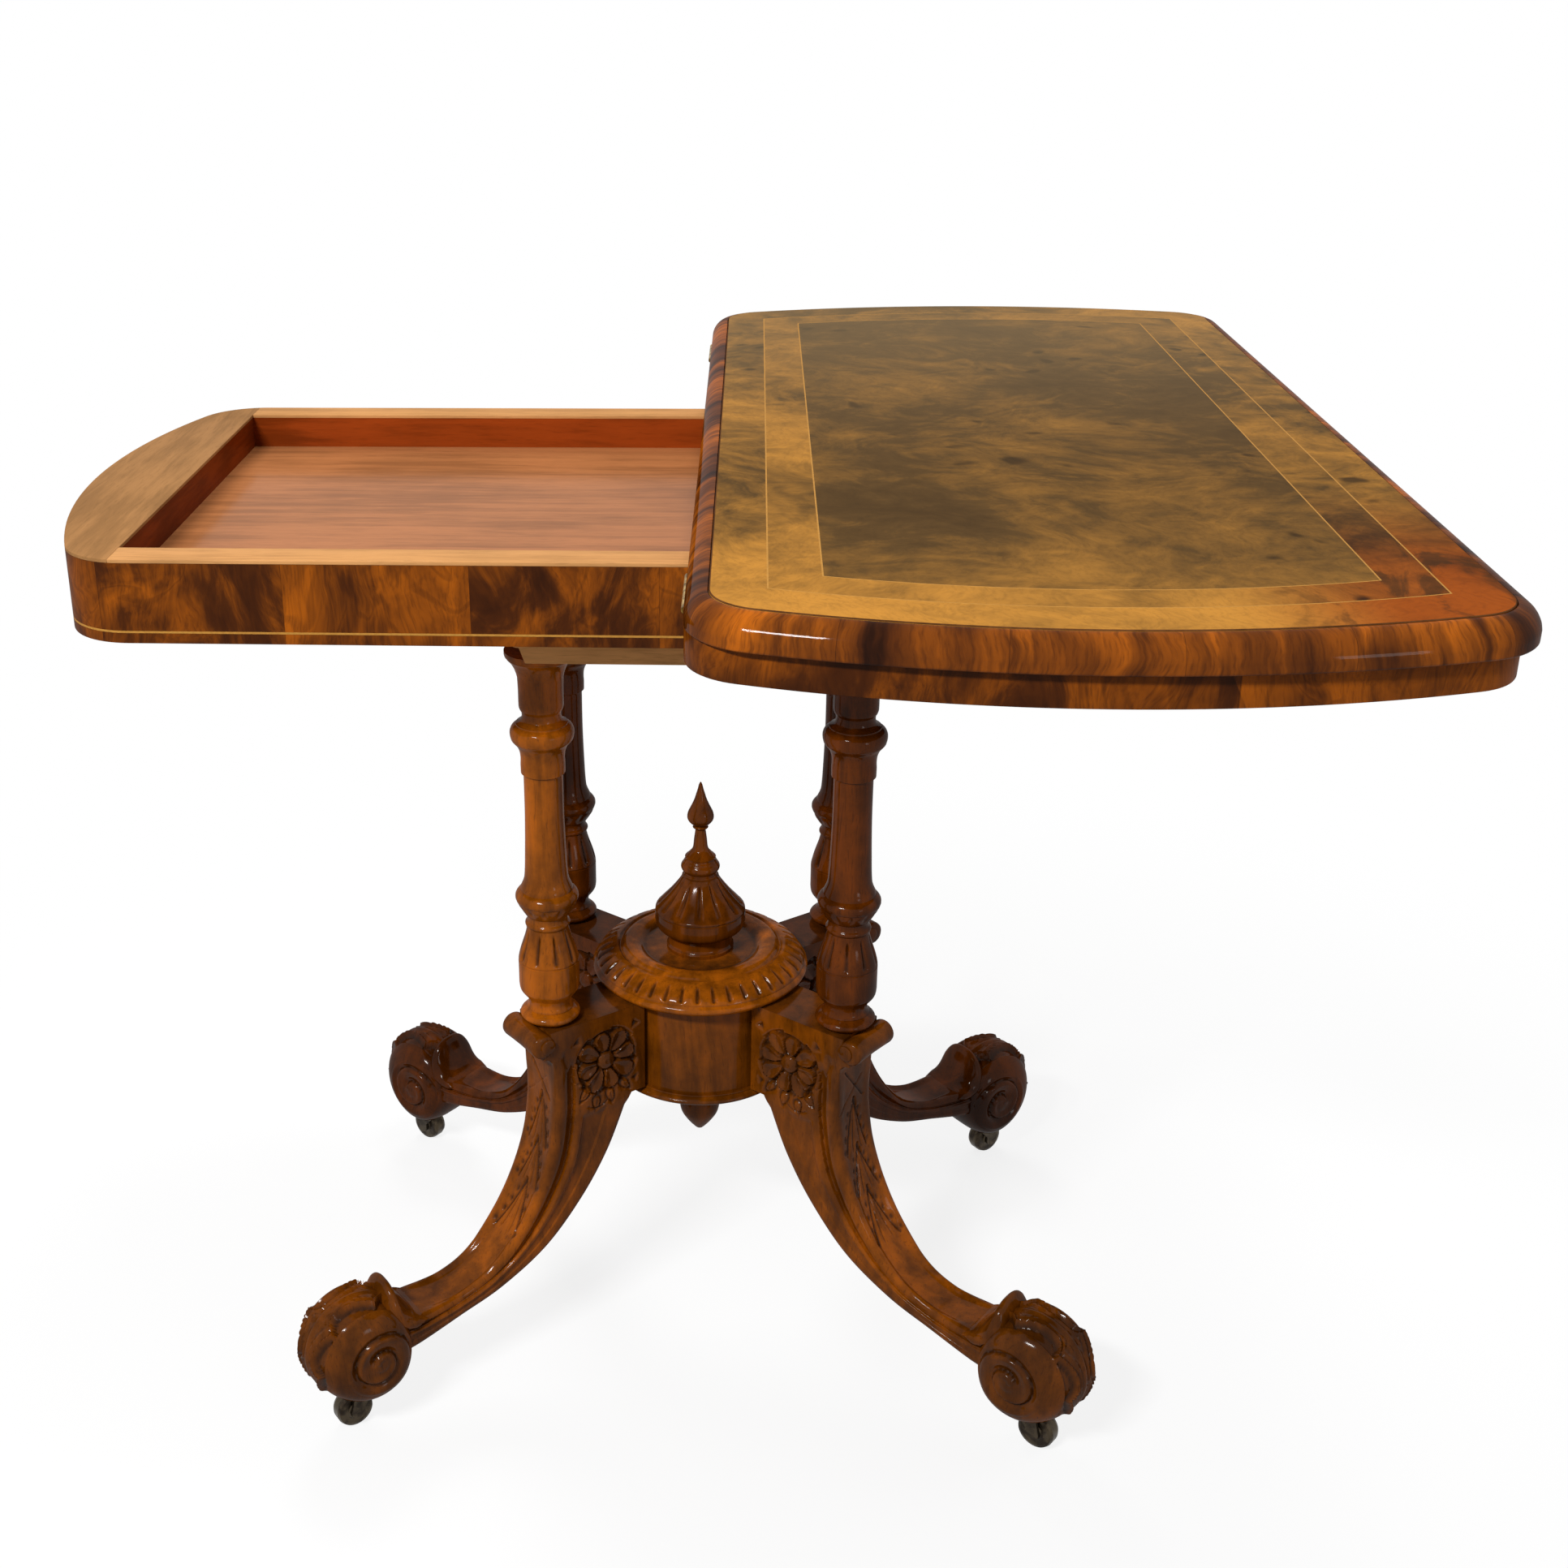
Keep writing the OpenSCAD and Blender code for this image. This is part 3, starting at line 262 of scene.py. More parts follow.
def skin(name, rows, angle, tube=False, fill=True, hollow=0.0, row_slots=None):
    """Lofts a piece over rows of points in millimetres, each row a ring. tube joins the last row to
    the first, and fill closes the two ends. Its map runs in metres along the rows and across them.
    hollow is how deep each point lies in the carving, and row_slots the slot of each strip. An edge
    sharper than angle, in degrees, stays sharp."""
    rows = np.asarray(rows, float)
    sheet = np.dstack([rows, np.broadcast_to(hollow, rows.shape[:2])])
    sheet = np.concatenate([sheet, sheet[:, :1]], axis=1)
    if tube:
        sheet = np.concatenate([sheet, sheet[:1]], axis=0)
    rows, deep = sheet[..., :3], sheet[..., 3]
    count, width = deep.shape
    deselect()
    bpy.ops.mesh.primitive_grid_add(
        x_subdivisions=width - 1, y_subdivisions=count - 1, size=1, calc_uvs=True
    )
    piece = new_piece(name)
    place_points(piece, rows.reshape(-1, 3))
    mesh = piece.data
    along = steps_along(rows[count // 2]) * MM
    across = steps_along(rows[:, width // 4]) * MM
    chart = np.stack(np.broadcast_arrays(along[None, :], across[:, None]), -1).reshape(-1, 2)
    corner = np.empty(len(mesh.loops), np.int32)
    mesh.loops.foreach_get("vertex_index", corner)
    mesh.uv_layers[0].data.foreach_set("uv", chart[corner].astype(np.float32).ravel())
    mark_hollows(piece, deep)
    if row_slots is not None:
        mesh.polygons.foreach_set("material_index", np.repeat(row_slots, width - 1).astype(np.int32))
    close_mesh(piece, fill)
    smooth(piece, angle)
    return piece


def turned(name, profile, steps, relief=None):
    """Turns a profile of (radius, height) points in millimetres about the upright axis, as on a
    lathe. relief(turn, radius, height) gives how far a point moves out and how hollow it is."""
    deselect()
    (r0, z0), *rest = profile
    bpy.ops.mesh.primitive_plane_add(size=0.002, location=(r0 * MM, 0, z0 * MM))
    piece = new_piece(name)
    bpy.ops.object.mode_set(mode="EDIT")
    bpy.ops.mesh.merge(type="CENTER")
    for r, z in rest:
        step = ((r - r0) * MM, 0, (z - z0) * MM)
        bpy.ops.mesh.extrude_region_move(TRANSFORM_OT_translate={"value": step})
        r0, z0 = r, z
    bpy.ops.mesh.select_all(action="SELECT")
    bpy.ops.mesh.spin(steps=steps, angle=2 * math.pi, center=(0, 0, 0), axis=(0, 0, 1))
    bpy.ops.object.mode_set(mode="OBJECT")
    settle(piece)
    close_mesh(piece)
    if relief is not None:
        points = read_points(piece)
        radius = np.hypot(points[:, 0], points[:, 1])
        out, deep = relief(np.arctan2(points[:, 1], points[:, 0]), radius, points[:, 2])
        points[:, :2] *= (1 + out / np.maximum(radius, 1))[:, None]
        place_points(piece, points)
        mark_hollows(piece, deep)
    smooth(piece)
    return piece


def plate(name, outline, low, high, edge):
    """A board of an outline in millimetres between two heights, its edges eased by edge."""
    deselect()
    bpy.ops.mesh.primitive_circle_add(vertices=len(outline), radius=0.1, fill_type="NGON")
    piece = new_piece(name)
    place_points(piece, [(x, y, low) for x, y in outline])
    bpy.ops.object.mode_set(mode="EDIT")
    bpy.ops.mesh.select_all(action="SELECT")
    bpy.ops.mesh.extrude_region_move(TRANSFORM_OT_translate={"value": (0, 0, (high - low) * MM)})
    bpy.ops.object.mode_set(mode="OBJECT")
    close_mesh(piece)
    ease(piece, edge)
    return piece


def ease(piece, edge):
    """Rounds a piece's sharp edges over a width in millimetres."""
    pick(piece)
    bpy.ops.object.modifier_add(type="BEVEL")
    bevel = piece.modifiers[-1]
    bevel.width = edge * MM
    bevel.segments = 3
    bevel.limit_method = "ANGLE"
    bevel.angle_limit = math.radians(40)
    bpy.ops.object.modifier_apply(modifier=bevel.name)
    smooth(piece)


def block(low, high):
    """A plain block between two corners in millimetres, to cut with."""
    deselect()
    extent = [(b - a) * MM for a, b in zip(low, high)]
    centre = [(a + b) / 2 * MM for a, b in zip(low, high)]
    bpy.ops.mesh.primitive_cube_add(size=1, location=centre, scale=extent)
    cutter = new_piece("cutter")
    settle(cutter)
    return cutter


def rod(x, y, low, high, radius, steps=48):
    """An upright rod in millimetres, to cut with."""
    deselect()
    centre = (x * MM, y * MM, (low + high) / 2 * MM)
    bpy.ops.mesh.primitive_cylinder_add(
        vertices=steps, radius=radius * MM, depth=(high - low) * MM, location=centre
    )
    cutter = new_piece("cutter")
    settle(cutter)
    return cutter


def cut(piece, cutters):
    """Cuts each cutter out of a piece and throws the cutter away."""
    for cutter in cutters:
        pick(piece)
        bpy.ops.object.modifier_add(type="BOOLEAN")
        saw = piece.modifiers[-1]
        saw.operation = "DIFFERENCE"
        saw.solver = "EXACT"
        saw.object = cutter
        bpy.ops.object.modifier_apply(modifier=saw.name)
        bpy.data.objects.remove(cutter)


def copy_turned(piece, name, degrees, at=(0, 0, 0)):
    """A copy of a piece with its own mesh, turned about the upright axis and set at a place in
    millimetres."""
    pick(piece)
    bpy.ops.object.duplicate(linked=False)
    twin = new_piece(name)
    twin.rotation_euler = (0, 0, math.radians(degrees))
    twin.location = Vector(at) * MM
    settle(twin)
    return twin


FINISHES = {}


def finish_with(piece, *names):
    """Puts finishes in a piece's slots and leaves each face on its own slot."""
    slots = piece.data.materials
    while len(slots) < len(names):
        slots.append(None)
    for index, name in enumerate(names):
        slots[index] = FINISHES[name]


def seat(piece, body, slot, nodes, *names):
    """Gives a finished piece its finishes and its place on the frame."""
    finish_with(piece, *names)
    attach(piece, body)
    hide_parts(*nodes)


# Outlines and curves


def arc(cx, cy, radius, start, end, steps):
    """An arc in degrees that leaves out its first point."""
    turns = [math.radians(start + (end - start) * i / steps) for i in range(1, steps + 1)]
    return [(cx + radius * math.cos(a), cy + radius * math.sin(a)) for a in turns]


def bowed(width, depth, bow, corner, inset=0.0, side_steps=1):
    """Outline with straight long sides along X and bowed ends, in millimetres."""
    bow_r = (depth * depth / 4 + bow * bow) / (2 * bow)
    cx = width / 2 - bow_r
    ky = depth / 2 - corner
    kx = cx + math.sqrt((bow_r - corner) ** 2 - ky * ky)
    beta = math.degrees(math.atan2(ky, kx - cx))
    half = [(kx, -depth / 2 + inset)]
    half += arc(kx, -ky, corner - inset, -90, -beta, 14)
    half += arc(cx, 0, bow_r - inset, -beta, beta, 34)
    half += arc(kx, ky, corner - inset, beta, 90, 14)
    half += [(kx - 2 * kx * i / side_steps, depth / 2 - inset) for i in range(1, side_steps)]
    return half + [(-x, -y) for x, y in half]


def leaf_line(outline, depth):
    """Turns an outline so that its long side runs along Y, from the fold line at X 0."""
    return [(depth / 2 - y, x) for x, y in outline]


def clip(outline, axis, limit, keep):
    """The part of a convex outline on one side of a line: keep is -1 for below and 1 for above."""
    kept = []
    for a, b in zip(outline, outline[1:] + outline[:1]):
        da, db = (a[axis] - limit) * keep, (b[axis] - limit) * keep
        if da >= 0:
            kept.append(a)
        if da * db < 0:
            t = da / (da - db)
            kept.append((a[0] + (b[0] - a[0]) * t, a[1] + (b[1] - a[1]) * t))
    return kept


def flow(points, step=1.5):
    """A smooth curve through points, in steps of about a length."""
    p = np.asarray(points, float)
    out = [p[0]]
    for i in range(len(p) - 1):
        a, b, c, d = p[max(i - 1, 0)], p[i], p[i + 1], p[min(i + 2, len(p) - 1)]
        first, second, third = c - a, 2 * a - 5 * b + 4 * c - d, 3 * b - a - 3 * c + d
        count = max(1, int(math.ceil(np.linalg.norm(c - b) / step)))
        for k in range(1, count + 1):
            t = k / count
            out.append(0.5 * (2 * b + first * t + second * t * t + third * t**3))
    return [tuple(q) for q in out]


def bead(low, high, inner, outer, steps=12):
    """A half-round swelling of a turned profile."""
    return [
        (inner + (outer - inner) * math.sin(math.pi * i / steps), low + (high - low) * i / steps)
        for i in range(steps + 1)
    ]


def raised(profile, by):
    return [(r, z + by) for r, z in profile]


def ramp(x, low, high):
    """0 below low and 1 above high, smooth between. low may be the greater."""
    t = np.clip((x - low) / (high - low), 0, 1)
    return t * t * (3 - 2 * t)


def notch(distance, width):
    """The section of a soft cut: 1 at its bottom, 0.37 at its width and next to 0 at twice that."""
    return np.exp(-((distance / width) ** 2))


def grooves(height, *cuts):
    """Fine cuts round a turned piece, each at a height and with a width."""
    return sum(notch(height - at, width) for at, width in cuts)


def from_cut(turn, count, radius):
    """Distance round a turned piece from the nearest of its even cuts."""
    share = turn * count / (2 * math.pi)
    return (share - np.round(share)) * 2 * math.pi * radius / count


def to_line(x, y, a, b):
    """Distance of points from a straight line between a and b."""
    ax, ay = a
    dx, dy = b[0] - ax, b[1] - ay
    t = np.clip(((x - ax) * dx + (y - ay) * dy) / (dx * dx + dy * dy), 0, 1)
    return np.hypot(x - ax - dx * t, y - ay - dy * t)


# Finishes


class Mixer:
    """A node tree while it is being mixed."""

    def __init__(self, owner, output):
        owner.use_nodes = True
        self.tree = owner.node_tree
        self.tree.nodes.clear()
        self.surface = self.add(output).inputs["Surface"]

    def put(self, socket, value):
        """Links or sets a socket."""
        if isinstance(value, bpy.types.NodeSocket):
            self.tree.links.new(value, socket)
        elif hasattr(socket.default_value, "__len__"):
            value = tuple(value)
            socket.default_value = value + (1.0,) * (len(socket.default_value) - len(value))
        else:
            socket.default_value = value

    def add(self, kind, settings=(), **sockets):
        node = self.tree.nodes.new(kind)
        for key, value in dict(settings).items():
            setattr(node, key, value)
        for key, value in sockets.items():
            self.put(node.inputs[key.replace("_", " ")], value)
        return node

    def place(self, source="Object"):
        """Where a point of the piece lies, for a pattern to follow."""
        return self.add("ShaderNodeTexCoord").outputs[source]

    def moved(self, vector, scale=(1, 1, 1), shift=(0, 0, 0), turn=(0, 0, 0)):
        values = dict(Vector=vector, Scale=scale, Location=shift, Rotation=turn)
        return self.add("ShaderNodeMapping", **values).outputs[0]

    def noise(self, vector, scale, detail=3.0, rough=0.5, twist=0.0):
        values = dict(Vector=vector, Scale=scale, Detail=detail, Roughness=rough, Distortion=twist)
        return self.add("ShaderNodeTexNoise", **values).outputs["Fac"]

    def warp(self, vector, scale, amount):
        """Bends a pattern's coordinates by a soft noise, so that its lines wander."""
        node = self.add("ShaderNodeTexNoise", Vector=vector, Scale=scale, Detail=2.0)
        push = self.vector("MULTIPLY_ADD", node.outputs["Color"], (amount,) * 3, (-amount / 2,) * 3)
        return self.vector("ADD", vector, push)

    def vector(self, operation, *values, kind="ShaderNodeVectorMath"):
        node = self.add(kind, {"operation": operation})
        for socket, value in zip(node.inputs, values):
            self.put(socket, value)
        return node.outputs[0]

    def math(self, operation, *values):
        return self.vector(operation, *values, kind="ShaderNodeMath")

    def times(self, a, b):
        return self.math("MULTIPLY", a, b)

    def plus(self, first, *rest):
        for value in rest:
            first = self.math("ADD", first, value)
        return first

    def total(self, *pairs):
        """The sum of values, each times its share."""
        return self.plus(*(self.times(value, share) for value, share in pairs))

    def from_middle(self, x, y):
        """Distance from the table's upright axis."""
        return self.math("SQRT", self.plus(self.times(x, x), self.times(y, y)))

    def parts(self, vector):
        return self.add("ShaderNodeSeparateXYZ", Vector=vector).outputs

    def joined(self, x, y, z):
        return self.add("ShaderNodeCombineXYZ", X=x, Y=y, Z=z).outputs[0]

    def own(self, value):
        """A number of its own, from 0 to 1, for each value."""
        return self.add("ShaderNodeTexWhiteNoise", {"noise_dimensions": "1D"}, W=value).outputs["Value"]

    def hollow(self):
        """How deep a point lies in the carving."""
        return self.add("ShaderNodeAttribute", {"attribute_name": "hollow"}).outputs["Fac"]

    def stretch(self, value, low, high, to_low=0.0, to_high=1.0):
        """Spreads a value from one span to another with soft ends."""
        node = self.add("ShaderNodeMapRange", {"interpolation_type": "SMOOTHSTEP"}, Value=value)
        for key, limit in zip(("From Min", "From Max", "To Min", "To Max"), (low, high, to_low, to_high)):
            self.put(node.inputs[key], limit)
        return node.outputs[0]

    def blend(self, share, a, b, mode="MIX"):
        node = self.add("ShaderNodeMix", {"data_type": "RGBA", "blend_type": mode})
        for index, value in ((0, share), (6, a), (7, b)):
            self.put(node.inputs[index], value)
        return node.outputs[2]

    def tinted(self, share, base, by):
        """A colour multiplied by another, as far as share says."""
        return self.blend(share, base, self.blend(1.0, base, by, "MULTIPLY"))

    def shades(self, value, *stops):
        """A run of colours along a value."""
        node = self.add("ShaderNodeValToRGB", Fac=value)
        band = node.color_ramp
        while len(band.elements) < len(stops):
            band.elements.new(0.5)
        for element, (at, shade) in zip(band.elements, stops):
            element.position = at
            element.color = (*shade[:3], 1)
        return node.outputs[0]

    def seen(self):
        """1 where the camera, a polished face or glass looks, and 0 for the light's own paths."""
        path = self.add("ShaderNodeLightPath").outputs
        either = self.math("MAXIMUM", path["Is Camera Ray"], path["Is Glossy Ray"])
        return self.math("MAXIMUM", either, path["Is Transmission Ray"])

    def show(self, share, first, second):
        """Shows the first shader where share is 0 and the second where it is 1."""
        mixer = self.add("ShaderNodeMixShader", Fac=share)
        self.put(mixer.inputs[1], first.outputs[0])
        self.put(mixer.inputs[2], second.outputs[0])
        self.put(self.surface, mixer.outputs[0])


class Finish(Mixer):
    """A material while it is being mixed."""

    def __init__(self, name):
        self.material = bpy.data.materials.new(name)
        super().__init__(self.material, "ShaderNodeOutputMaterial")
        self.shader = self.add("ShaderNodeBsdfPrincipled")
        self.put(self.surface, self.shader.outputs[0])

    def set(self, **sockets):
        for key, value in sockets.items():
            self.put(self.shader.inputs[key.replace("_", " ")], value)

    def plain(self, tint, roughness, height, depth):
        """Sets the colour, the roughness and the fine relief, its depth in millimetres."""
        bump = self.add("ShaderNodeBump", Strength=1.0, Distance=depth * MM, Height=height)
        self.set(Base_Color=tint, Roughness=roughness, Normal=bump.outputs[0])
        return self.material

    def polished(self, tint, roughness, height, depth, coat, coat_roughness):
        """A wood's surface under French polish. The polish is the same all over, and it is all the
        gloss the wood has, so that dark wood keeps its colour under a white room."""
        self.set(Coat_Weight=coat, Coat_Roughness=coat_roughness, Coat_IOR=1.5)
        self.set(Specular_IOR_Level=0.0)
        return self.plain(tint, roughness, height, depth)


def darker(shade, share):
    return tuple(part * share for part in shade[:3])


def between(a, b, share):
    return tuple(x + (y - x) * share for x, y in zip(a, b))


def burr_walnut(name, dark, light, shift, spread, knots, front, rich=0.0, right=0.0):
    """Burr walnut veneer: drifting clouds from dark to golden, curls of fine figure and small
    knots, and a painted reflection that makes the far end paler and greyer. spread is where dark
    ends and gold begins, knots how dark the knots are, front makes the near end more golden, right
    makes the right side darker, and rich is how much redder and more flamed the near right corner
    is: the flames are the veneer's figure, and the redder tint is partly its own colour and partly
    painted, for the corner that no reflection veils."""
    f = Finish(name)
    where = f.place()
    x, y, _ = f.parts(where)
    sheet = f.moved(where, shift=shift)
    bent = f.warp(sheet, 4.0, 0.12)
    curled = f.warp(bent, 19.0, 0.04)
    clouds = f.noise(bent, 7.5, 7.0, 0.66, 0.2)
    drift = f.noise(where, 3.1, 3.0, 0.5, 0.3)
    figure = f.noise(curled, 24.0, 6.0, 0.66, 1.3)
    grain = f.noise(f.moved(curled, scale=(1, 0.4, 1)), 330.0, 3.0, 0.6, 0.4)
    rings = f.math("SINE", f.times(f.noise(bent, 7.0, 3.0, 0.5, 0.7), 64.0))
    amount = f.total((clouds, 0.50), (figure, 0.24), (drift, 0.26), (rings, 0.012))
    nearer = f.stretch(y, -0.22, -0.42, 0.0, front)
    amount = f.plus(amount, nearer, f.stretch(x, 0.26, 0.36, 0.0, -right))
    tint = f.shades(
        f.stretch(amount, *spread),
        (0.0, darker(dark, 0.62)),
        (0.30, dark),
        (0.62, between(dark, light, 0.42)),
        (1.0, light),
    )
    cells = f.add("ShaderNodeTexVoronoi", {"feature": "SMOOTH_F1"}, Vector=curled, Scale=34.0, Smoothness=0.3)
    rare = f.stretch(f.noise(sheet, 13.0, 2.0), 0.58, 0.64)
    eye = f.times(f.stretch(cells.outputs["Distance"], 0.30, 0.12), rare)
    tint = f.blend(f.times(eye, knots), tint, darker(dark, 0.25))
    tint = f.blend(f.stretch(grain, 0.40, 0.75, 0.0, 0.22), tint, darker(dark, 0.5))
    # Painted reflection: the veneer is painted paler and greyer towards the far end.
    tint = f.blend(f.stretch(y, -0.2, 0.45, 0.0, 0.28), tint, tone(150, 128, 94))
    # The near right corner is painted redder, partly the veneer's own colour and partly painted for the
    # corner that no reflection veils; its flames are figure.
    corner = f.times(f.stretch(x, 0.27, 0.37, 0.0, rich), f.stretch(y, -0.16, -0.34))
    tint = f.tinted(corner, tint, tone(200, 128, 4))
    flames = f.noise(f.moved(bent, scale=(1, 0.3, 1), turn=(0, 0, 0.5)), 26.0, 5.0, 0.6, 1.2)
    flames = f.times(f.stretch(flames, 0.50, 0.40), corner)
    tint = f.blend(f.times(flames, 0.8), tint, darker(dark, 0.35))
    rough = f.stretch(grain, 0.2, 0.8, 0.30, 0.42)
    return f.polished(tint, rough, f.plus(grain, figure), 0.03, 0.06, 0.12)


def string_finish(name, base):
    """Boxwood string: fine grain under the polish."""
    f = Finish(name)
    grain = f.noise(f.place(), 420.0, 2.0)
    tint = f.blend(f.stretch(grain, 0.3, 0.75, 0, 0.35), base, darker(base, 0.55))
    return f.polished(tint, f.stretch(grain, 0.3, 0.7, 0.32, 0.42), grain, 0.02, 0.10, 0.14)


def seam(f, along, length, tint, fade, dark):
    """The dark joint between two lengths of veneer. fade is how it comes up from its sides."""
    share = f.math("FRACT", f.math("DIVIDE", along, length))
    off = f.math("ABSOLUTE", f.math("SUBTRACT", share, 0.5))
    return f.blend(f.stretch(off, *fade), tint, dark)


def crossbanded_walnut(name, dark, light, length=0.085):
    """Walnut laid across an edge: dark bars run over it, in lengths with their own tones, lively in
    some places and quiet in others. The quirk line beside it is dark."""
    f = Finish(name)
    chart = f.place("UV")
    along, across, _ = f.parts(chart)
    wander = f.noise(f.moved(chart, scale=(9, 26, 1)), 1.0, 3.0)
    own = f.own(f.math("FLOOR", f.math("DIVIDE", along, length)))
    run = f.plus(along, f.times(wander, 0.022), f.times(own, 3.1))
    place = f.joined(run, f.times(across, 0.14), own)
    bars = f.noise(place, 82.0, 4.0, 0.58, 0.3)
    thin = f.noise(place, 520.0, 3.0, 0.6)
    clouds = f.noise(f.moved(place, scale=(1, 4, 1)), 19.0, 3.0, 0.5, 0.8)
    broad = f.noise(f.moved(chart, scale=(1, 0.1, 1), shift=(5, 0, 0)), 10.0, 2.0)
    lively = f.stretch(f.noise(f.joined(along, 0.0, 0.0), 26.0, 1.0), 0.36, 0.62, 0.25, 1.25)
    bars = f.plus(f.times(f.math("SUBTRACT", bars, 0.56), lively), 0.56)
    amount = f.total((bars, 0.42), (clouds, 0.24), (broad, 0.32), (own, 0.05))
    tint = f.shades(
        f.stretch(amount, 0.36, 0.66),
        (0.0, darker(dark, 0.40)),
        (0.26, between(dark, light, 0.08)),
        (0.52, between(dark, light, 0.32)),
        (0.76, between(dark, light, 0.64)),
        (1.0, darker(light, 1.2)),
    )
    tint = f.blend(f.stretch(thin, 0.42, 0.72, 0.0, 0.5), tint, darker(dark, 0.9))
    tint = f.blend(f.times(f.hollow(), 0.9), tint, tone(30, 15, 7))
    tint = seam(f, along, length, tint, (0.497, 0.4995, 0.0, 0.6), darker(dark, 0.4))
    return f.polished(tint, f.stretch(thin, 0.2, 0.8, 0.24, 0.34), thin, 0.03, 0.15, 0.05)


def figured_walnut(name, dark, light, length=0.118, edge=0.0):
    """Figured walnut: upright lengths side by side, with streaks, flames and curls. edge is how much
    more golden the lower leaf's near end is past its slanting joint."""
    f = Finish(name)
    along, across, _ = f.parts(f.place("UV"))
    own = f.own(f.math("FLOOR", f.math("DIVIDE", along, length)))
    place = f.joined(along, f.times(across, 0.6), f.times(own, 7.0))
    bent = f.warp(place, 9.0, 0.075)
    curled = f.warp(bent, 31.0, 0.02)
    streaks = f.noise(f.moved(curled, scale=(1, 0.35, 1)), 46.0, 5.0, 0.62, 0.8)
    clouds = f.noise(bent, 15.0, 4.0, 0.55, 1.0)
    thin = f.noise(f.moved(curled, scale=(1, 0.12, 1)), 620.0, 3.0, 0.6)
    rings = f.math("SINE", f.times(f.noise(bent, 9.0, 3.0, 0.5, 0.8), 75.0))
    x, y, z = f.parts(f.place())
    slant = f.stretch(f.total((x, 1.0), (z, 0.5)), 0.6255, 0.6265)
    golden = f.times(slant, f.stretch(y, -0.2, -0.25))
    amount = f.total((streaks, 0.40), (clouds, 0.56), (own, 0.06), (rings, 0.014), (golden, edge))
    tint = f.shades(
        f.stretch(amount, 0.27, 0.775),
        (0.0, darker(dark, 0.6)),
        (0.30, between(dark, light, 0.10)),
        (0.52, between(dark, light, 0.52)),
        (0.78, light),
        (1.0, darker(light, 1.3)),
    )
    tint = f.blend(f.stretch(rings, 0.72, 1.0, 0.0, 0.30), tint, darker(dark, 0.7))
    tint = f.blend(f.stretch(thin, 0.42, 0.74, 0.0, 0.42), tint, darker(dark, 0.8))
    tint = seam(f, along, length, tint, (0.4975, 0.4995, 0.0, 0.5), darker(dark, 0.4))
    return f.polished(tint, f.stretch(thin, 0.2, 0.8, 0.34, 0.46), thin, 0.03, 0.12, 0.14)


def solid_walnut(name, base, stretch=(30, 30, 2.2), worn=0.0):
    """Solid walnut: long grain with open pores, and darker in the hollows of the carving: painted
    shade there, in patches, along with old polish that gathers in them. worn is how much lighter the
    low sweep of a leg is painted, most of all where it faces up: a painted sheen, with some wear
    from rubbing; the foot past it stays brown."""
    f = Finish(name)
    where = f.place()
    bent = f.warp(where, 6.0, 0.03)
    grain = f.noise(f.moved(bent, scale=stretch), 3.2, 5.0, 0.55, 0.4)
    pores = f.noise(f.moved(bent, scale=tuple(s * 9 for s in stretch)), 3.0, 2.0, 0.5)
    clouds = f.noise(where, 12.0, 4.0, 0.55, 0.3)
    mottle = f.noise(where, 60.0, 4.0, 0.65)
    tint = f.shades(
        f.stretch(f.total((grain, 0.40), (clouds, 0.44), (mottle, 0.20)), 0.38, 0.68),
        (0.0, darker(base, 0.42)),
        (0.45, darker(base, 0.86)),
        (1.0, (base[0] * 1.5, base[1] * 1.42, base[2] * 1.2)),
    )
    tint = f.blend(f.stretch(pores, 0.58, 0.70, 0.0, 0.42), tint, darker(base, 0.3))
    if worn:
        # Painted sheen: the low sweep is painted lighter, most where it faces up, for the glow of the polish
        # there, with some wear from rubbing.
        x, y, z = f.parts(where)
        foot = f.stretch(f.from_middle(x, y), 0.262, 0.29)
        sweep = f.times(f.stretch(z, 0.078, 0.115), f.stretch(z, 0.215, 0.145))
        upward = f.stretch(f.parts(f.place("Normal"))[2], 0.05, 0.6, 0.4 * worn, worn)
        rub_and_sheen = f.times(f.times(sweep, f.math("SUBTRACT", 1.0, foot)), upward)
        tint = f.tinted(rub_and_sheen, tint, (1.8, 1.75, 1.4))
        tint = f.tinted(foot, tint, (0.80, 0.82, 1.2))
    # Painted shade: the carving's hollows are painted darker in patches, along with old polish gathered
    # there, and made rougher.
    patchy_polish_and_shade = f.noise(where, 180.0, 3.0, 0.6)
    sunk = f.times(f.stretch(f.hollow(), 0.10, 0.95), f.stretch(patchy_polish_and_shade, 0.2, 0.6, 0.72, 1.0))
    tint = f.blend(f.times(sunk, 0.80), tint, tone(38, 22, 12))
    rough = f.stretch(f.plus(grain, sunk), 0.3, 1.3, 0.30, 0.62)
    surface = f.total((mottle, 0.5), (f.stretch(pores, 0.58, 0.7), -0.6))
    return f.polished(tint, rough, surface, 0.08, 0.19, 0.11)


def straight_wood(name, base, stretch, contrast, rough, coat):
    """Plain straight-grained wood: ribbon mahogany or pale walnut, by its colour."""
    f = Finish(name)
    where = f.place()
    bent = f.warp(where, 5.0, 0.012)
    grain = f.noise(f.moved(bent, scale=stretch), 3.4, 6.0, 0.66, 0.3)
    fine = f.noise(f.moved(bent, scale=tuple(s * 9 for s in stretch)), 3.0, 2.0)
    clouds = f.noise(where, 8.0, 3.0)
    tint = f.shades(
        f.stretch(f.total((grain, 0.56), (clouds, 0.45)), 0.36, 0.68),
        (0.0, darker(base, 1 - contrast)),
        (0.5, base),
        (1.0, darker(base, 1 + 0.5 * contrast)),
    )
    tint = f.blend(f.stretch(fine, 0.55, 0.72, 0.0, 0.3), tint, darker(base, 0.5))
    roughness = f.stretch(fine, 0.3, 0.8, rough, rough + 0.12)
    return f.polished(tint, roughness, f.plus(grain, fine), 0.05, coat, 0.16)


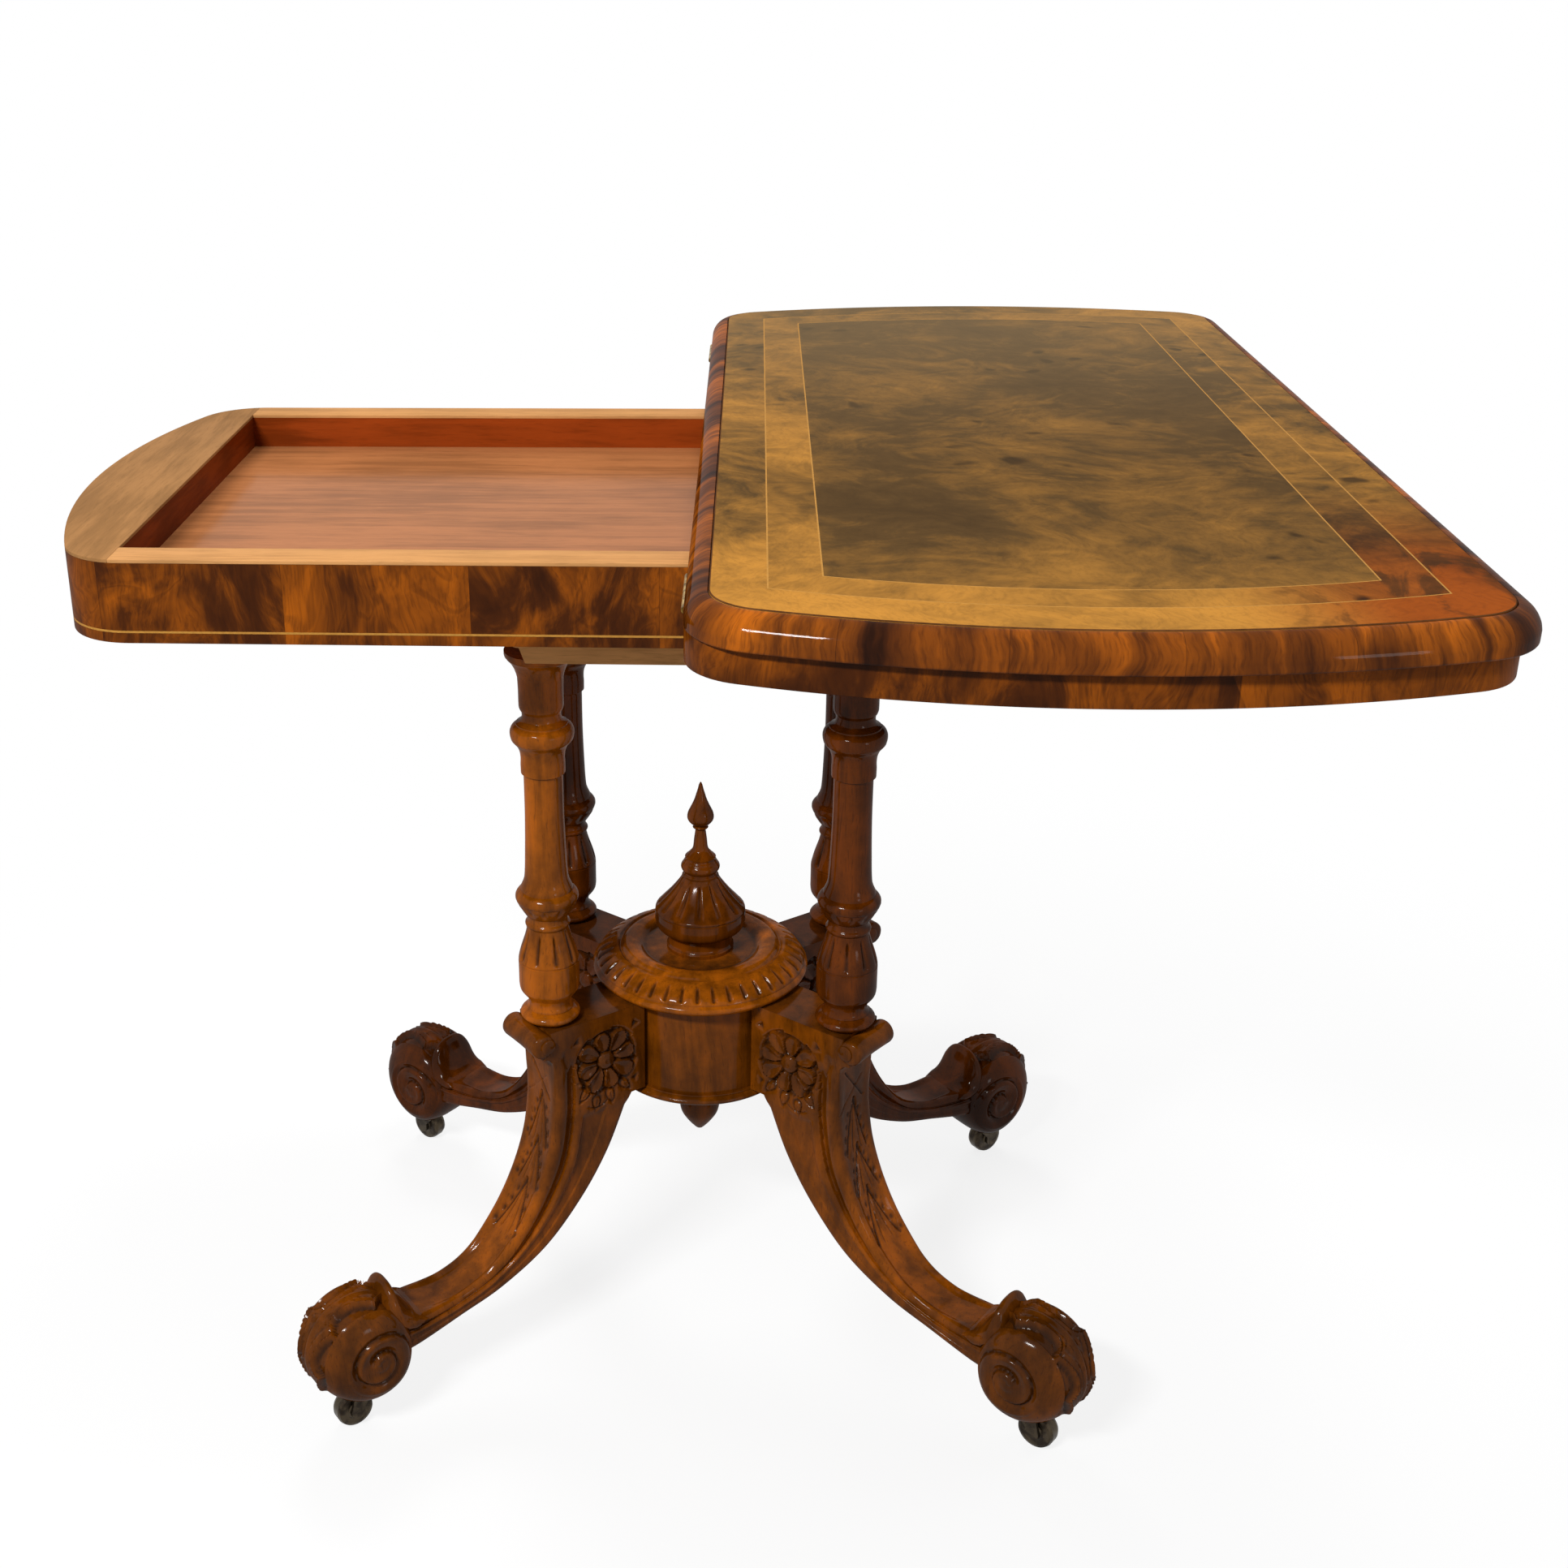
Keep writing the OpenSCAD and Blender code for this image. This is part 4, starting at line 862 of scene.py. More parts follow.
def baize_cloth(name, base):
    """Green baize: a short felted nap, a little worn where cards are played."""
    f = Finish(name)
    where = f.place()
    nap = f.noise(where, 1500.0, 3.0, 0.7)
    tufts = f.noise(where, 260.0, 3.0, 0.6, 0.4)
    worn = f.stretch(f.noise(where, 7.0, 3.0, 0.5), 0.5, 0.75, 0.0, 0.35)
    tint = f.blend(f.stretch(nap, 0.3, 0.7), darker(base, 0.6), darker(base, 1.3))
    tint = f.blend(worn, tint, between(base, tone(120, 130, 80), 0.4))
    f.set(Specular_IOR_Level=0.15, Sheen_Weight=0.2, Sheen_Roughness=0.4)
    return f.plain(tint, 0.95, f.plus(nap, tufts), 0.3)


def old_metal(name, base, tarnish, metallic=1.0, rough=0.34):
    """Cast or rolled metal, tarnished in patches and rubbed bright in others."""
    f = Finish(name)
    where = f.place()
    patches = f.noise(where, 90.0, 4.0, 0.6, 0.5)
    fine = f.noise(where, 900.0, 3.0, 0.6)
    worn = f.stretch(f.total((patches, 1.0), (fine, 0.4)), 0.4, 0.9, rough + 0.22, rough)
    tint = f.blend(f.stretch(patches, 0.38, 0.62), tarnish, base)
    f.set(Metallic=metallic)
    return f.plain(tint, worn, f.plus(fine, patches), 0.12)


# Operators


def mix_finishes(c):
    """Mixes every finish of the table once, from the colours of the settings."""
    along_x, along_y, down_leg = (2.6, 30, 30), (30, 2.6, 30), (22, 22, 4.0)
    dark, light, gold = c.walnut_dark, c.walnut_light, c.burr_light
    muted = between(c.burr_dark, gold, 0.62)
    shaded = darker(c.mahogany, 0.72)
    # Painted light and shade: ruddy is a darker, redder copy of the carved walnut for shaded parts, and
    # golden below a lighter copy for lit ones.
    ruddy = tuple(part * share for part, share in zip(c.carved, (0.68, 0.58, 0.6)))

    def burr(part, *values, **more):
        return burr_walnut("burr_walnut_" + part, c.burr_dark, *values, **more)

    FINISHES.update(
        centre=burr("centre", muted, (3.1, 1.7, 0), (0.34, 0.77), 0.7, front=0.13),
        band=burr("band", gold, (7.3, 4.2, 0), (0.22, 0.68), 0.9, front=0.03, rich=0.8, right=0.07),
        outer=burr("outer", gold, (1.3, 8.8, 0), (0.29, 0.70), 0.8, front=0.15, rich=0.9),
        string=string_finish("boxwood_string", c.boxwood),
        thumb=crossbanded_walnut("cross_grain_walnut", dark, darker(light, 1.14)),
        edge=figured_walnut("walnut_leaf_edge", dark, light, 0.31, 0.10),
        frieze=figured_walnut("figured_walnut", dark, light),
        carved=solid_walnut("carved_walnut", c.carved),
        golden=solid_walnut("lit_golden_walnut", darker(c.carved, 1.8)),
        ruddy=solid_walnut("ruddy_walnut", ruddy),
        finial=solid_walnut("finial_walnut", between(ruddy, c.carved, 0.4)),
        leg=solid_walnut("carved_leg_walnut", c.carved, down_leg, 0.8),
        # Painted shade: the back legs' walnut is a darker copy of the front legs', with little painted sheen.
        dark_leg=solid_walnut("dark_leg_walnut", darker(ruddy, 0.85), down_leg, 0.1),
        floor=straight_wood("well_floor_mahogany", c.well_floor, along_x, 0.30, 0.26, 0.26),
        mahogany=straight_wood("ribbon_mahogany", c.mahogany, along_x, 0.42, 0.26, 0.14),
        end_mahogany=straight_wood("ribbon_mahogany_end", shaded, along_y, 0.42, 0.26, 0.14),
        pale=straight_wood("pale_walnut", c.pale, along_x, 0.24, 0.45, 0.05),
        pale_end=straight_wood("pale_walnut_end", darker(c.pale, 0.62), along_y, 0.26, 0.45, 0.05),
        under=straight_wood("walnut_underside", tone(96, 60, 32), along_y, 0.4, 0.6, 0.02),
        # Painted light: the bearers are painted paler than their walnut, to lift them out of the shade under
        # the frieze.
        bearer=straight_wood("bearer_walnut_painted_light", tone(206, 148, 92), along_x, 0.4, 0.55, 0.03),
        baize=baize_cloth("green_baize", c.baize),
        brass=old_metal("hinge_brass", c.brass, tone(110, 84, 40)),
        iron=old_metal("bronzed_iron", c.iron, tone(38, 30, 22), 0.9, 0.3),
    )


class GAMES_TABLE_OT_finishes(bpy.types.Operator):
    """Mixes the woods, metals and cloth of the table"""

    bl_idname = "games_table.finishes"
    bl_label = "Finishes"

    def execute(self, context):
        mix_finishes(context.scene.table_finish)
        return {"FINISHED"}


def leaf_ring(t, inset, side_steps=1):
    """The upper leaf's outline, a steady distance inside its edge."""
    depth = t.depth / MM
    line = bowed(t.length / MM, depth, t.bow / MM, t.corner / MM, inset, side_steps)
    return leaf_line(line, depth)


def square_ring(t, side, end, corner=0.6):
    """An outline with sharp corners inside the leaf's, side and end in from its edges."""
    length, depth, bow = t.length / MM, t.depth / MM, t.bow / MM
    bow_r = (depth * depth / 4 + bow * bow) / (2 * bow) - end
    inner = depth - 2 * side
    inner_bow = bow_r - math.sqrt(bow_r * bow_r - inner * inner / 4)
    return leaf_line(bowed(length - 2 * end, inner, inner_bow, corner), depth)


def baize_ring(t):
    """The outline of the baize in a playing face."""
    return square_ring(t, BAIZE_BORDER, BAIZE_BORDER, BAIZE_CORNER)


def at_height(ring, z):
    return [(x, y, z) for x, y in ring]


def rows_of(ring, section):
    """An outline at each step of a section: its inset and its height."""
    return [at_height(ring(inset), z) for inset, z in section]


def hinge_cutters(face, into):
    """What the hinges take out of a leaf with its playing face at a height: a plate's seat and the
    slot for its knuckles. into is 1 for the leaf above the fold and -1 for the one below."""
    cutters = []
    for y in (-HINGE_Y, HINGE_Y):
        for half, reach, end in ((30.1, 22.1, face + 1.6 * into), (30.5, 2.6, FOLD + 2.6 * into)):
            low, high = sorted((face - into, end))
            cutters.append(block((-1, y - half, low), (reach, y + half, high)))
    return cutters


class GAMES_TABLE_OT_upper_panel(bpy.types.Operator):
    """Veneered panel of the upper leaf, with its two boxwood strings and the recess for the baize"""

    bl_idname = "games_table.upper_panel"
    bl_label = "Upper panel"

    def execute(self, context):
        t = context.scene.table_top
        low, high = heights("upper_panel")
        inset, half = t.moulding / MM, t.string_width / MM / 2
        rows = [at_height(baize_ring(t), z) for z in (low + BAIZE_DEPTH, low)]
        edge = ((0, low), (0, high - 0.7), (0.2, high - 0.25), (0.7, high))
        rows += rows_of(lambda more: leaf_ring(t, inset + more), edge)
        for side, end in ((t.outer_string, OUTER_STRING_END), (t.inner_string, INNER_STRING_END)):
            rows += [at_height(square_ring(t, side / MM + by, end + by), high) for by in (-half, half)]
        woods = ("centre", "string", "outer", "under", "band")
        strips = "under under outer under under outer string band string"
        slots = [woods.index(wood) for wood in strips.split()]
        piece = skin("top_panel", rows, row_slots=slots, angle=20)
        # The face inside the inner string is about as broad as the baize's recess, and higher
        centre = max(piece.data.polygons, key=lambda face: face.area + face.center.z)
        centre.material_index = 0
        finish_with(piece, *woods)
        cut(piece, hinge_cutters(low, 1))
        seat(piece, "flap", "burr_walnut", ["upper_panel"], *woods)
        return {"FINISHED"}


class GAMES_TABLE_OT_thumb_moulding(bpy.types.Operator):
    """Cross-grain thumb moulding round the upper leaf"""

    bl_idname = "games_table.thumb_moulding"
    bl_label = "Thumb moulding"

    def execute(self, context):
        t = context.scene.table_top
        low, high = heights("upper_panel")
        wide, tall = t.moulding / MM, high - low
        thumb = [(0.09, 0.54), (0.28, 0.74), (0.53, 0.88)]
        line = [(0.8, 0), (0.15, 0.7), (0, 1.7), (0, 0.33 * tall)]
        line += [(e * wide, z * tall) for e, z in thumb]
        line += [(0.79 * wide, tall - 0.8), (wide - 0.75, tall - 0.62)]
        section = [(wide, 0)] + [(max(e, 0.0), min(z, tall)) for e, z in flow(line, 0.9)]
        section += [(wide - 0.35, tall - 0.9), (wide - 0.2, tall - 1.9), (wide, tall - 1.9)]
        rows = rows_of(lambda e: leaf_ring(t, e, 40), [(e, low + z) for e, z in section])
        quirk = [[1.0 if e > wide - 0.5 and z > 1 else 0.0] for e, z in section]
        piece = skin("thumb_moulding", rows, tube=True, fill=False, hollow=quirk, angle=28)
        cut(piece, hinge_cutters(low, 1))
        seat(piece, "flap", "cross_grain_walnut", ["upper_moulding"], "thumb")
        return {"FINISHED"}


class GAMES_TABLE_OT_lower_leaf(bpy.types.Operator):
    """Lower leaf with its veneered edge, the recess for the baize and the seat of the swivel plate"""

    bl_idname = "games_table.lower_leaf"
    bl_label = "Lower leaf"

    def execute(self, context):
        t = context.scene.table_top
        low, high = box("lower_leaf")
        foot, top = low.z, high.z
        length, depth = high.y - low.y, high.x - low.x
        corner = t.corner / MM - (t.length / MM - length) / 2

        def ring(inset):
            return leaf_line(bowed(length, depth, t.bow / MM, corner, inset, 40), low.x + high.x)

        edge = [(0.7, top), (0.2, top - 0.2), (0, top - 0.7)]
        edge += [(0, foot + 0.9), (0.3, foot + 0.3), (0.9, foot)]
        piece = skin("lower_leaf_board", rows_of(ring, edge), angle=28)
        mark_level_faces(piece)
        cutters = [plate("cutter", baize_ring(t), top - BAIZE_DEPTH, top + 2, 0.05)]
        cutters += hinge_cutters(top, -1)
        room = Vector((0.05, 0.05, 0))
        plate_low, plate_high = box("pivot_plate")
        cutters.append(block(plate_low - room - Vector((0, 0, 1)), plate_high + room))
        bolt_high = box("pivot_bolt")[1]
        bolt = middle("pivot_bolt")
        cutters.append(rod(bolt.x, bolt.y, foot - 1, bolt_high.z + 0.05, bolt_high.x - bolt.x + 0.05))
        cut(piece, cutters)
        smooth(piece, 28)
        seat(piece, "top", "figured_walnut", ["lower_leaf"], "edge", "under")
        return {"FINISHED"}


class GAMES_TABLE_OT_baize(bpy.types.Operator):
    """Two sheets of baize, one laid in each playing face"""

    bl_idname = "games_table.baize"
    bl_label = "Baize"

    def execute(self, context):
        ring = np.array(baize_ring(context.scene.table_top))
        centre = ring.mean(axis=0)
        line = centre + (ring - centre) * (0.9995, 0.9998)
        for name, node, body, board in (
            ("upper_baize_cloth", "upper_baize", "flap", "top_panel"),
            ("lower_baize_cloth", "lower_baize", "top", "lower_leaf_board"),
        ):
            low, high = heights(node)
            piece = plate(name, line, low + 0.02, high - 0.02, 0.3)
            seat(piece, body, "baize", [node], "baize")
        return {"FINISHED"}


def frieze_ring(s, inset, side_steps=60):
    """The frieze's outline, a steady distance inside its edge."""
    return bowed(s.length / MM, s.depth / MM, s.bow / MM, s.corner / MM, inset, side_steps)


class GAMES_TABLE_OT_frieze(bpy.types.Operator):
    """Veneered frieze casing and the boxwood string let into its face"""

    bl_idname = "games_table.frieze"
    bl_label = "Frieze"

    def execute(self, context):
        s = context.scene.table_frieze
        foot, top = heights("frieze_left_end")
        string_low, string_high = heights("frieze_string")
        half = (string_high - string_low) / 2
        below = foot + s.string_height / MM - half
        above = below + 2 * half

        def ring(inset):
            return frieze_ring(s, inset)

        face = [(0.7, foot), (0.2, foot + 0.2), (0, foot + 0.7), (0, below)]
        face += [(1.2, below), (1.2, above), (0, above), (0, top)]
        casing = skin("frieze_casing", rows_of(ring, face), angle=28)
        mark_level_faces(casing)
        rail = box("frieze_front_rail")[1]
        cut(casing, [block((-rail.x, rail.y, foot - 1), (rail.x, -rail.y, top + 1))])
        smooth(casing, 28)
        nodes = ["frieze_front_rail", "frieze_back_rail", "frieze_left_end", "frieze_right_end"]
        seat(casing, "base", "figured_walnut", nodes, "frieze", "under")
        face = [(1.18, below + 0.02), (0.15, below + 0.02), (0.02, below + 0.15)]
        face += [(0.02, above - 0.15), (0.15, above - 0.02), (1.18, above - 0.02)]
        string = skin("frieze_boxwood_string", rows_of(ring, face), tube=True, fill=False, angle=28)
        seat(string, "base", "boxwood", ["frieze_string"], "string")
        return {"FINISHED"}


class GAMES_TABLE_OT_border(bpy.types.Operator):
    """Border strips on the frieze's top edge"""

    bl_idname = "games_table.border"
    bl_label = "Border strips"

    def execute(self, context):
        low, high = box("border_front")
        x, y = high.x, high.y
        for name, node, cuts, wood in (
            ("border_strip_front", "border_front", ((0, x, -1), (0, -x, 1), (1, y, -1)), "pale"),
            ("border_strip_back", "border_back", ((0, x, -1), (0, -x, 1), (1, -y, 1)), "pale"),
            ("border_end_left", "border_left", ((0, -x, -1),), "pale_end"),
            ("border_end_right", "border_right", ((0, x, 1),), "pale_end"),
        ):
            line = frieze_ring(context.scene.table_frieze, 0.02, 1)
            for axis, limit, keep in cuts:
                line = clip(line, axis, limit, keep)
            piece = plate(name, line, low.z + 0.01, high.z, 0.35)
            seat(piece, "base", "pale_walnut", [node], wood)
        return {"FINISHED"}


class GAMES_TABLE_OT_bearers(bpy.types.Operator):
    """Two bearers between the frieze and the columns, with an ogee at each end"""

    bl_idname = "games_table.bearers"
    bl_label = "Bearers"

    def execute(self, context):
        low, high = box("bearer_front")
        end, top, foot = high.x, high.z, low.z
        ogee = [(end, top), (end, top - 8), (end - 2, top - 8)]
        ogee += arc(end - 2, top - 21, 13, 90, 180, 10)
        ogee += arc(end - 27, top - 23, 12, 0, -90, 10)
        ogee += [(end - 31, foot)]
        wide = high.y - low.y
        first = plate("bearer", ogee + [(-x, z) for x, z in reversed(ogee)], -wide / 2, wide / 2, 0.8)
        first.rotation_euler = (math.radians(90), 0, 0)
        settle(first)
        for side, way in (("front", 1), ("back", -1)):
            y = way * (low.y + high.y) / 2
            piece = copy_turned(first, "bearer_board_" + side, 0, (0, y, 0))
            heads = [(x, y + across) for x in (-SCREW_X, SCREW_X) for across in (-SCREW_Y, SCREW_Y)]
            cut(piece, [rod(*head, foot - 1, foot + 3.05, 5.05, 32) for head in heads])
            seat(piece, "base", "carved_walnut", ["bearer_" + side], "bearer")
        bpy.data.objects.remove(first)
        return {"FINISHED"}


def column_profile():
    """A column's turning from its shoulder at 293 to its flared cap at 586."""
    pear = [(22.3, 345), (21.7, 348), (20.5, 352.5), (18.9, 357.5), (17.2, 362.5), (16, 367), (15.2, 370.6)]
    shaft = [(18.2, 404.5), (16.3, 409.5), (15.5, 418), (15, 430), (14.5, 445), (14.1, 465), (14.1, 492.6)]
    return (
        [(0, 293), (17, 293)]
        + bead(293.3, 303.6, 17.2, 22.4)
        + flow([(17.6, 304), (16.2, 306.5), (16, 309.5), (17, 313)], 1)
        + flow([(19.6, 316), (21.8, 319.5), (22.5, 324)], 1)
        + flow([(22.5, 333), (22.5, 342.6)], 3)
        + [(22.1, 343), (22.1, 343.8), (22.4, 344.2)]
        + flow(pear, 0.8)
        + bead(371, 375.8, 15.2, 16.6, 8)
        + flow([(15, 376.6), (14.8, 378.6), (15.2, 380.4)], 1)
        + flow([(16.4, 381.4), (19.2, 385.5), (20.9, 388.5), (21.6, 391.4)], 0.7)
        + [(22.3, 392)]
        + flow([(23.1, 394.4), (22.9, 397), (21.2, 399.6), (19.2, 401.2)], 0.8)
        + [(19.2, 402.2)]
        + flow(shaft, 3)
        + [(14.3, 493), (15.9, 493.6)]
        + flow([(16, 500), (15.8, 505), (16.4, 510), (18.2, 514.4), (20.8, 517.6)], 1)
        + flow([(22, 519.2), (22.8, 522.6), (22.7, 526), (21.2, 529), (18.6, 530.6)], 0.8)
        + [(18.4, 531.6), (16.6, 532.4)]
        + flow([(14.6, 534.2), (13.9, 537), (14.1, 540)], 1)
        + flow([(14.9, 541.2), (15.8, 543.4), (16, 547), (16, 557), (16.3, 566)], 1.6)
        + flow([(17, 569), (18.6, 573.4), (21, 577.6), (23.3, 580.2)], 1)
        + [(23.4, 581.2), (24.6, 582), (25, 583.4), (25, 586), (0, 586)]
    )


class GAMES_TABLE_OT_columns(bpy.types.Operator):
    """Four turned columns with fluted pears and notched rings"""

    bl_idname = "games_table.columns"
    bl_label = "Columns"

    def execute(self, context):
        s = context.scene.table_pedestal
        quirks = ((343.4, 0.7), (391.9, 0.6), (493, 0.7), (401.8, 0.6), (531.5, 0.8), (304.4, 0.9))

        def relief(turn, radius, height):
            flute = notch(from_cut(turn, s.column_flutes, radius), 0.7 + 1.15 * ramp(height, 371, 347))
            flute *= ramp(height, 344.6, 347.4) * ramp(height, 370.5, 364)
            scoop = notch(from_cut(turn, s.column_notches, radius), 2.3) * notch(height - 387.5, 3.4)
            scoop *= (height > 380.5) & (height < 392)
            deep = np.clip(0.9 * flute + 0.55 * scoop + 0.4 * grooves(height, *quirks), 0, 1)
            solid = radius > 1
            return -(1.7 * flute + 1.5 * scoop) * solid, deep * solid

        first = turned("column", column_profile(), 144, relief)
        axis = middle("column_br")
        for corner, (sx, sy) in CORNERS.items():
            place = (sx * axis.x, sy * axis.y, 0)
            own_turn = 13 + 67 * (sx + 2 * sy)
            piece = copy_turned(first, "column_turned_" + corner, own_turn, place)
            # Painted light and shade: the front left column takes the lighter golden copy of the walnut, the
            # others the darker ruddy copy, for the light on the one and the shade on the others.
            finish = "golden" if corner == "fl" else "ruddy"
            seat(piece, "base", "carved_walnut", ["column_" + corner], finish)
        bpy.data.objects.remove(first)
        return {"FINISHED"}


def gouged_disc(rim, base, count):
    """The top disc, its sloping edge cut with gouges that lie over the rim."""
    slope = [(2.6, 9.2), (5.6, 13), (10.6, 16.6), (15.6, 19.1), (19.6, 20.2)]
    step = [(21.2, 18.8), (22.6, 19.2), (24.4, 21.2), (27, 22.2), (32, 22.3)]
    dish = [(34.4, 21.6), (37, 20.4), (40, 18.2), (42.6, DISC_BED)]
    profile = [(0, 0), (rim - 4, 0)] + bead(0.3, 8, rim - 2.8, rim, 10) + [(rim - 2.9, 8.8)]
    for line, after in ((slope, [(rim - 20.4, 19.4)]), (step, []), (dish, [(27, DISC_BED), (0, DISC_BED)])):
        profile += flow([(rim - e, z) for e, z in line], 0.9) + after

    def gouges(turn, r, height):
        along, up = rim - r, height - base
        scoop = notch(from_cut(turn, count, r), 0.8 + 0.9 * ramp(along, 15.5, 5.5))
        scoop *= ramp(along, 2.8, 4.6) * ramp(along, 17, 11) * (up > 9)
        groove = notch(along - 20.9, 0.9) + notch(up - 8.9, 0.7) * (along < 4)
        # Painted shade: besides the grooves, the broad dish round the cone's foot is marked hollow, so its
        # finish paints it darker.
        groove += notch(along - 41, 1.6) + 1.1 * ramp(along, 33, 38) * ramp(along, 64, 56)
        return -0.9 * scoop, np.clip(0.95 * scoop + 0.5 * groove, 0, 1)

    disc = turned("gouged_disc", raised(profile, base), 720, gouges)
    points = read_points(disc)
    deep = np.empty(len(points), np.float32)
    disc.data.attributes["hollow"].data.foreach_get("value", deep)
    edge = (np.hypot(points[:, 0], points[:, 1]) > rim - 18) & (points[:, 2] > base + 9)
    points[:, 2] -= 1.9 * deep * edge
    place_points(disc, points)
    return disc


class GAMES_TABLE_OT_drum(bpy.types.Operator):
    """Drum between the legs, the gouged disc on it and the disc and pendant under it"""

    bl_idname = "games_table.drum"
    bl_label = "Drum and discs"

    def execute(self, context):
        low, high = box("drum")
        steps = (low.z, low.z + 20, high.z - 20, high.z)
        profile = [(0, low.z)] + [(high.x, z) for z in steps] + [(0, high.z)]
        drum = turned("drum_turned", profile, 160)
        seat(drum, "base", "carved_walnut", ["drum"], "carved")

        low, high = box("top_disc")
        disc = gouged_disc(high.x, low.z, context.scene.table_pedestal.disc_gouges)
        # Painted light: the disc takes the lighter golden copy of the carved walnut, as on the lit front left
        # column.
        seat(disc, "base", "carved_walnut", ["top_disc"], "golden")

        low, high = box("bottom_disc")
        rim = high.x
        profile = [(0, 0), (rim - 5, 0)] + bead(0.6, 7.6, rim - 3.4, rim, 10)
        profile += [(rim - 3.2, 8.2), (rim - 3.4, 9), (0, 9)]
        under = turned("bottom_disc_turned", raised(profile, low.z), 160)
        seat(under, "base", "carved_walnut", ["bottom_disc"], "carved")

        drop = [(0, 0), (2.2, 0.8), (4.4, 2.8), (9, 8.4), (13.4, 15), (15.4, 20), (16, 26), (15.2, 36)]
        profile = flow(drop + [(16, 46), (18.6, 52.4)], 1.4) + [(19, 53.4)]
        profile += bead(54, 60, 19, 20, 6) + [(19.4, 61), (19.4, 65), (0, 65)]
        pendant = turned("pendant_turned", raised(profile, heights("pendant")[0]), 96)
        seat(pendant, "base", "carved_walnut", ["pendant"], "carved")
        return {"FINISHED"}


class GAMES_TABLE_OT_finial(bpy.types.Operator):
    """Fluted cone of the finial and the spire on it"""

    bl_idname = "games_table.finial"
    bl_label = "Finial"

    def execute(self, context):
        count = context.scene.table_pedestal.cone_flutes
        foot = heights("top_disc")[0] + DISC_BED
        top = foot + CONE_TALL
        cone = [(34.4, 34.2), (29, 40.4), (24.2, 45.8), (19.8, 51.4), (16.4, 56.2), (14.2, 60)]
        profile = (
            [(0, 0), (26, 0), (26, 2.6), (25.4, 3.4)]
            + flow([(25, 3.8), (24.2, 5.6), (24, 9), (24.4, 12.6)], 1)
            + flow([(25.8, 13.6), (29.6, 15.8), (32.6, 18), (34.2, 20.4), (35, 24)], 0.9)
            + [(35, 28), (35, 31.4), (34.3, 32), (34.3, 32.8), (34.8, 33.2)]
            + flow(cone, 0.8)
            + [(14.2, 61), (13, 61.6)]
            + flow([(12.6, 62.4), (12.8, 64)], 0.8)
            + bead(64.4, 72.8, 12.8, 15)
            + flow([(12.6, 73.6), (11.6, 75), (11.6, CONE_TALL)], 0.8)
            + [(0, CONE_TALL)]
        )

        def flutes(turn, r, height):
            up = height - foot
            flute = notch(from_cut(turn, count, r), 0.7 + 1.3 * ramp(up, 58, 38))
            flute *= ramp(up, 34.6, 37.2) * ramp(up, 59.4, 54)
            groove = grooves(up, (32.4, 0.8), (61.4, 0.8), (3.8, 0.9), (13, 0.8))
            return -1.9 * flute * (r > 2), np.clip(0.6 * flute + 0.5 * groove, 0, 1) * (r > 2)

        piece = turned("finial_cone_turned", raised(profile, foot), 240, flutes)
        seat(piece, "base", "carved_walnut", ["finial_cone"], "finial")
        flame = [(5.6, 27.6), (7.6, 29), (9.6, 31.6), (10.2, 34.4), (9.5, 38), (8.1, 41), (6.2, 45)]
        flame += [(4.6, 49), (3.4, 53), (2.2, 57), (1.2, 61), (0, 63)]
        profile = [(0, 0), (11.7, 0), (11.9, 0.8), (11.2, 1.6)]
        profile += flow([(10.6, 2), (8.7, 4), (5.9, 8), (4.9, 16), (3.9, 23.4)], 1.2)
        profile += bead(24, 27.2, 4.2, 6, 6) + flow(flame, 1.2)
        piece = turned("finial_spire_turned", raised(profile, top), 96)
        seat(piece, "base", "carved_walnut", ["finial_spire"], "finial")
        return {"FINISHED"}


# A leg is drawn along +X: s runs out from the pedestal's axis, y across the leg and z up. Its
# lines are pairs of points, on its underside and on its outer face.

FLOWER_S, FLOWER_Z = 103, 253
EYE_S, EYE_Z, FOOT_HALF, FACE_RADIUS = 311, 69, 30, 28.6
HUSK_START = (149.0, 262.0)
SWEEP_HALF, MIDDLE_HALF, SHOULDER_HALF = 21, 22, 22.6
LEG_STRAIGHT = [
    (67.3, 293.0, 152.0, 293.0),
    (67.3, 284.0, 152.0, 284.0),
    (67.3, 277.0, 156.0, 276.5),
    (67.3, 272.4, 158.0, 271.2),
    (67.3, 270.0, 154.5, 270.5),
    (67.3, 267.6, 151.7, 268.6),
    (67.3, 265.0, 149.7, 265.6),
    (67.3, 262.0, 149.0, 262.0),
    (67.3, 240.0, 149.0, 250.0),
    (67.3, 226.0, 149.0, 240.0),
    (67.3, 217.6, 149.0, 232.0),
    (80.0, 217.4, 149.1, 227.0),
    (86.0, 208.0, 149.3, 221.0),
]
LEG_SWEEP = [
    (86.0, 208.0, 149.3, 221.0),
    (103.0, 172.0, 154.0, 190.0),
    (127.0, 138.0, 166.0, 157.0),
    (160.0, 106.0, 184.0, 127.0),
    (200.0, 85.0, 208.0, 103.0),
    (238.0, 74.0, 236.0, 91.0),
    (275.0, 64.0, 268.0, 88.0),
    (291.0, 62.5, 284.0, 88.6),
]


def leg_lines():
    """Pairs of points down the leg, on its underside and on its outer face."""
    pairs = []
    for a, b in zip(LEG_STRAIGHT, LEG_STRAIGHT[1:]):
        reach = max(math.dist(a[:2], b[:2]), math.dist(a[2:], b[2:]))
        count = max(1, round(reach / 1.15))
        pairs += [between(a, b, k / count) for k in range(count)]
    return np.array(pairs + flow(LEG_SWEEP, 3.0))


def seen_from(s, z, centre, degrees):
    """How far points lie from a centre, along a direction and across it."""
    x, y, a = s - centre[0], z - centre[1], math.radians(degrees)
    return x * math.cos(a) + y * math.sin(a), y * math.cos(a) - x * math.sin(a)


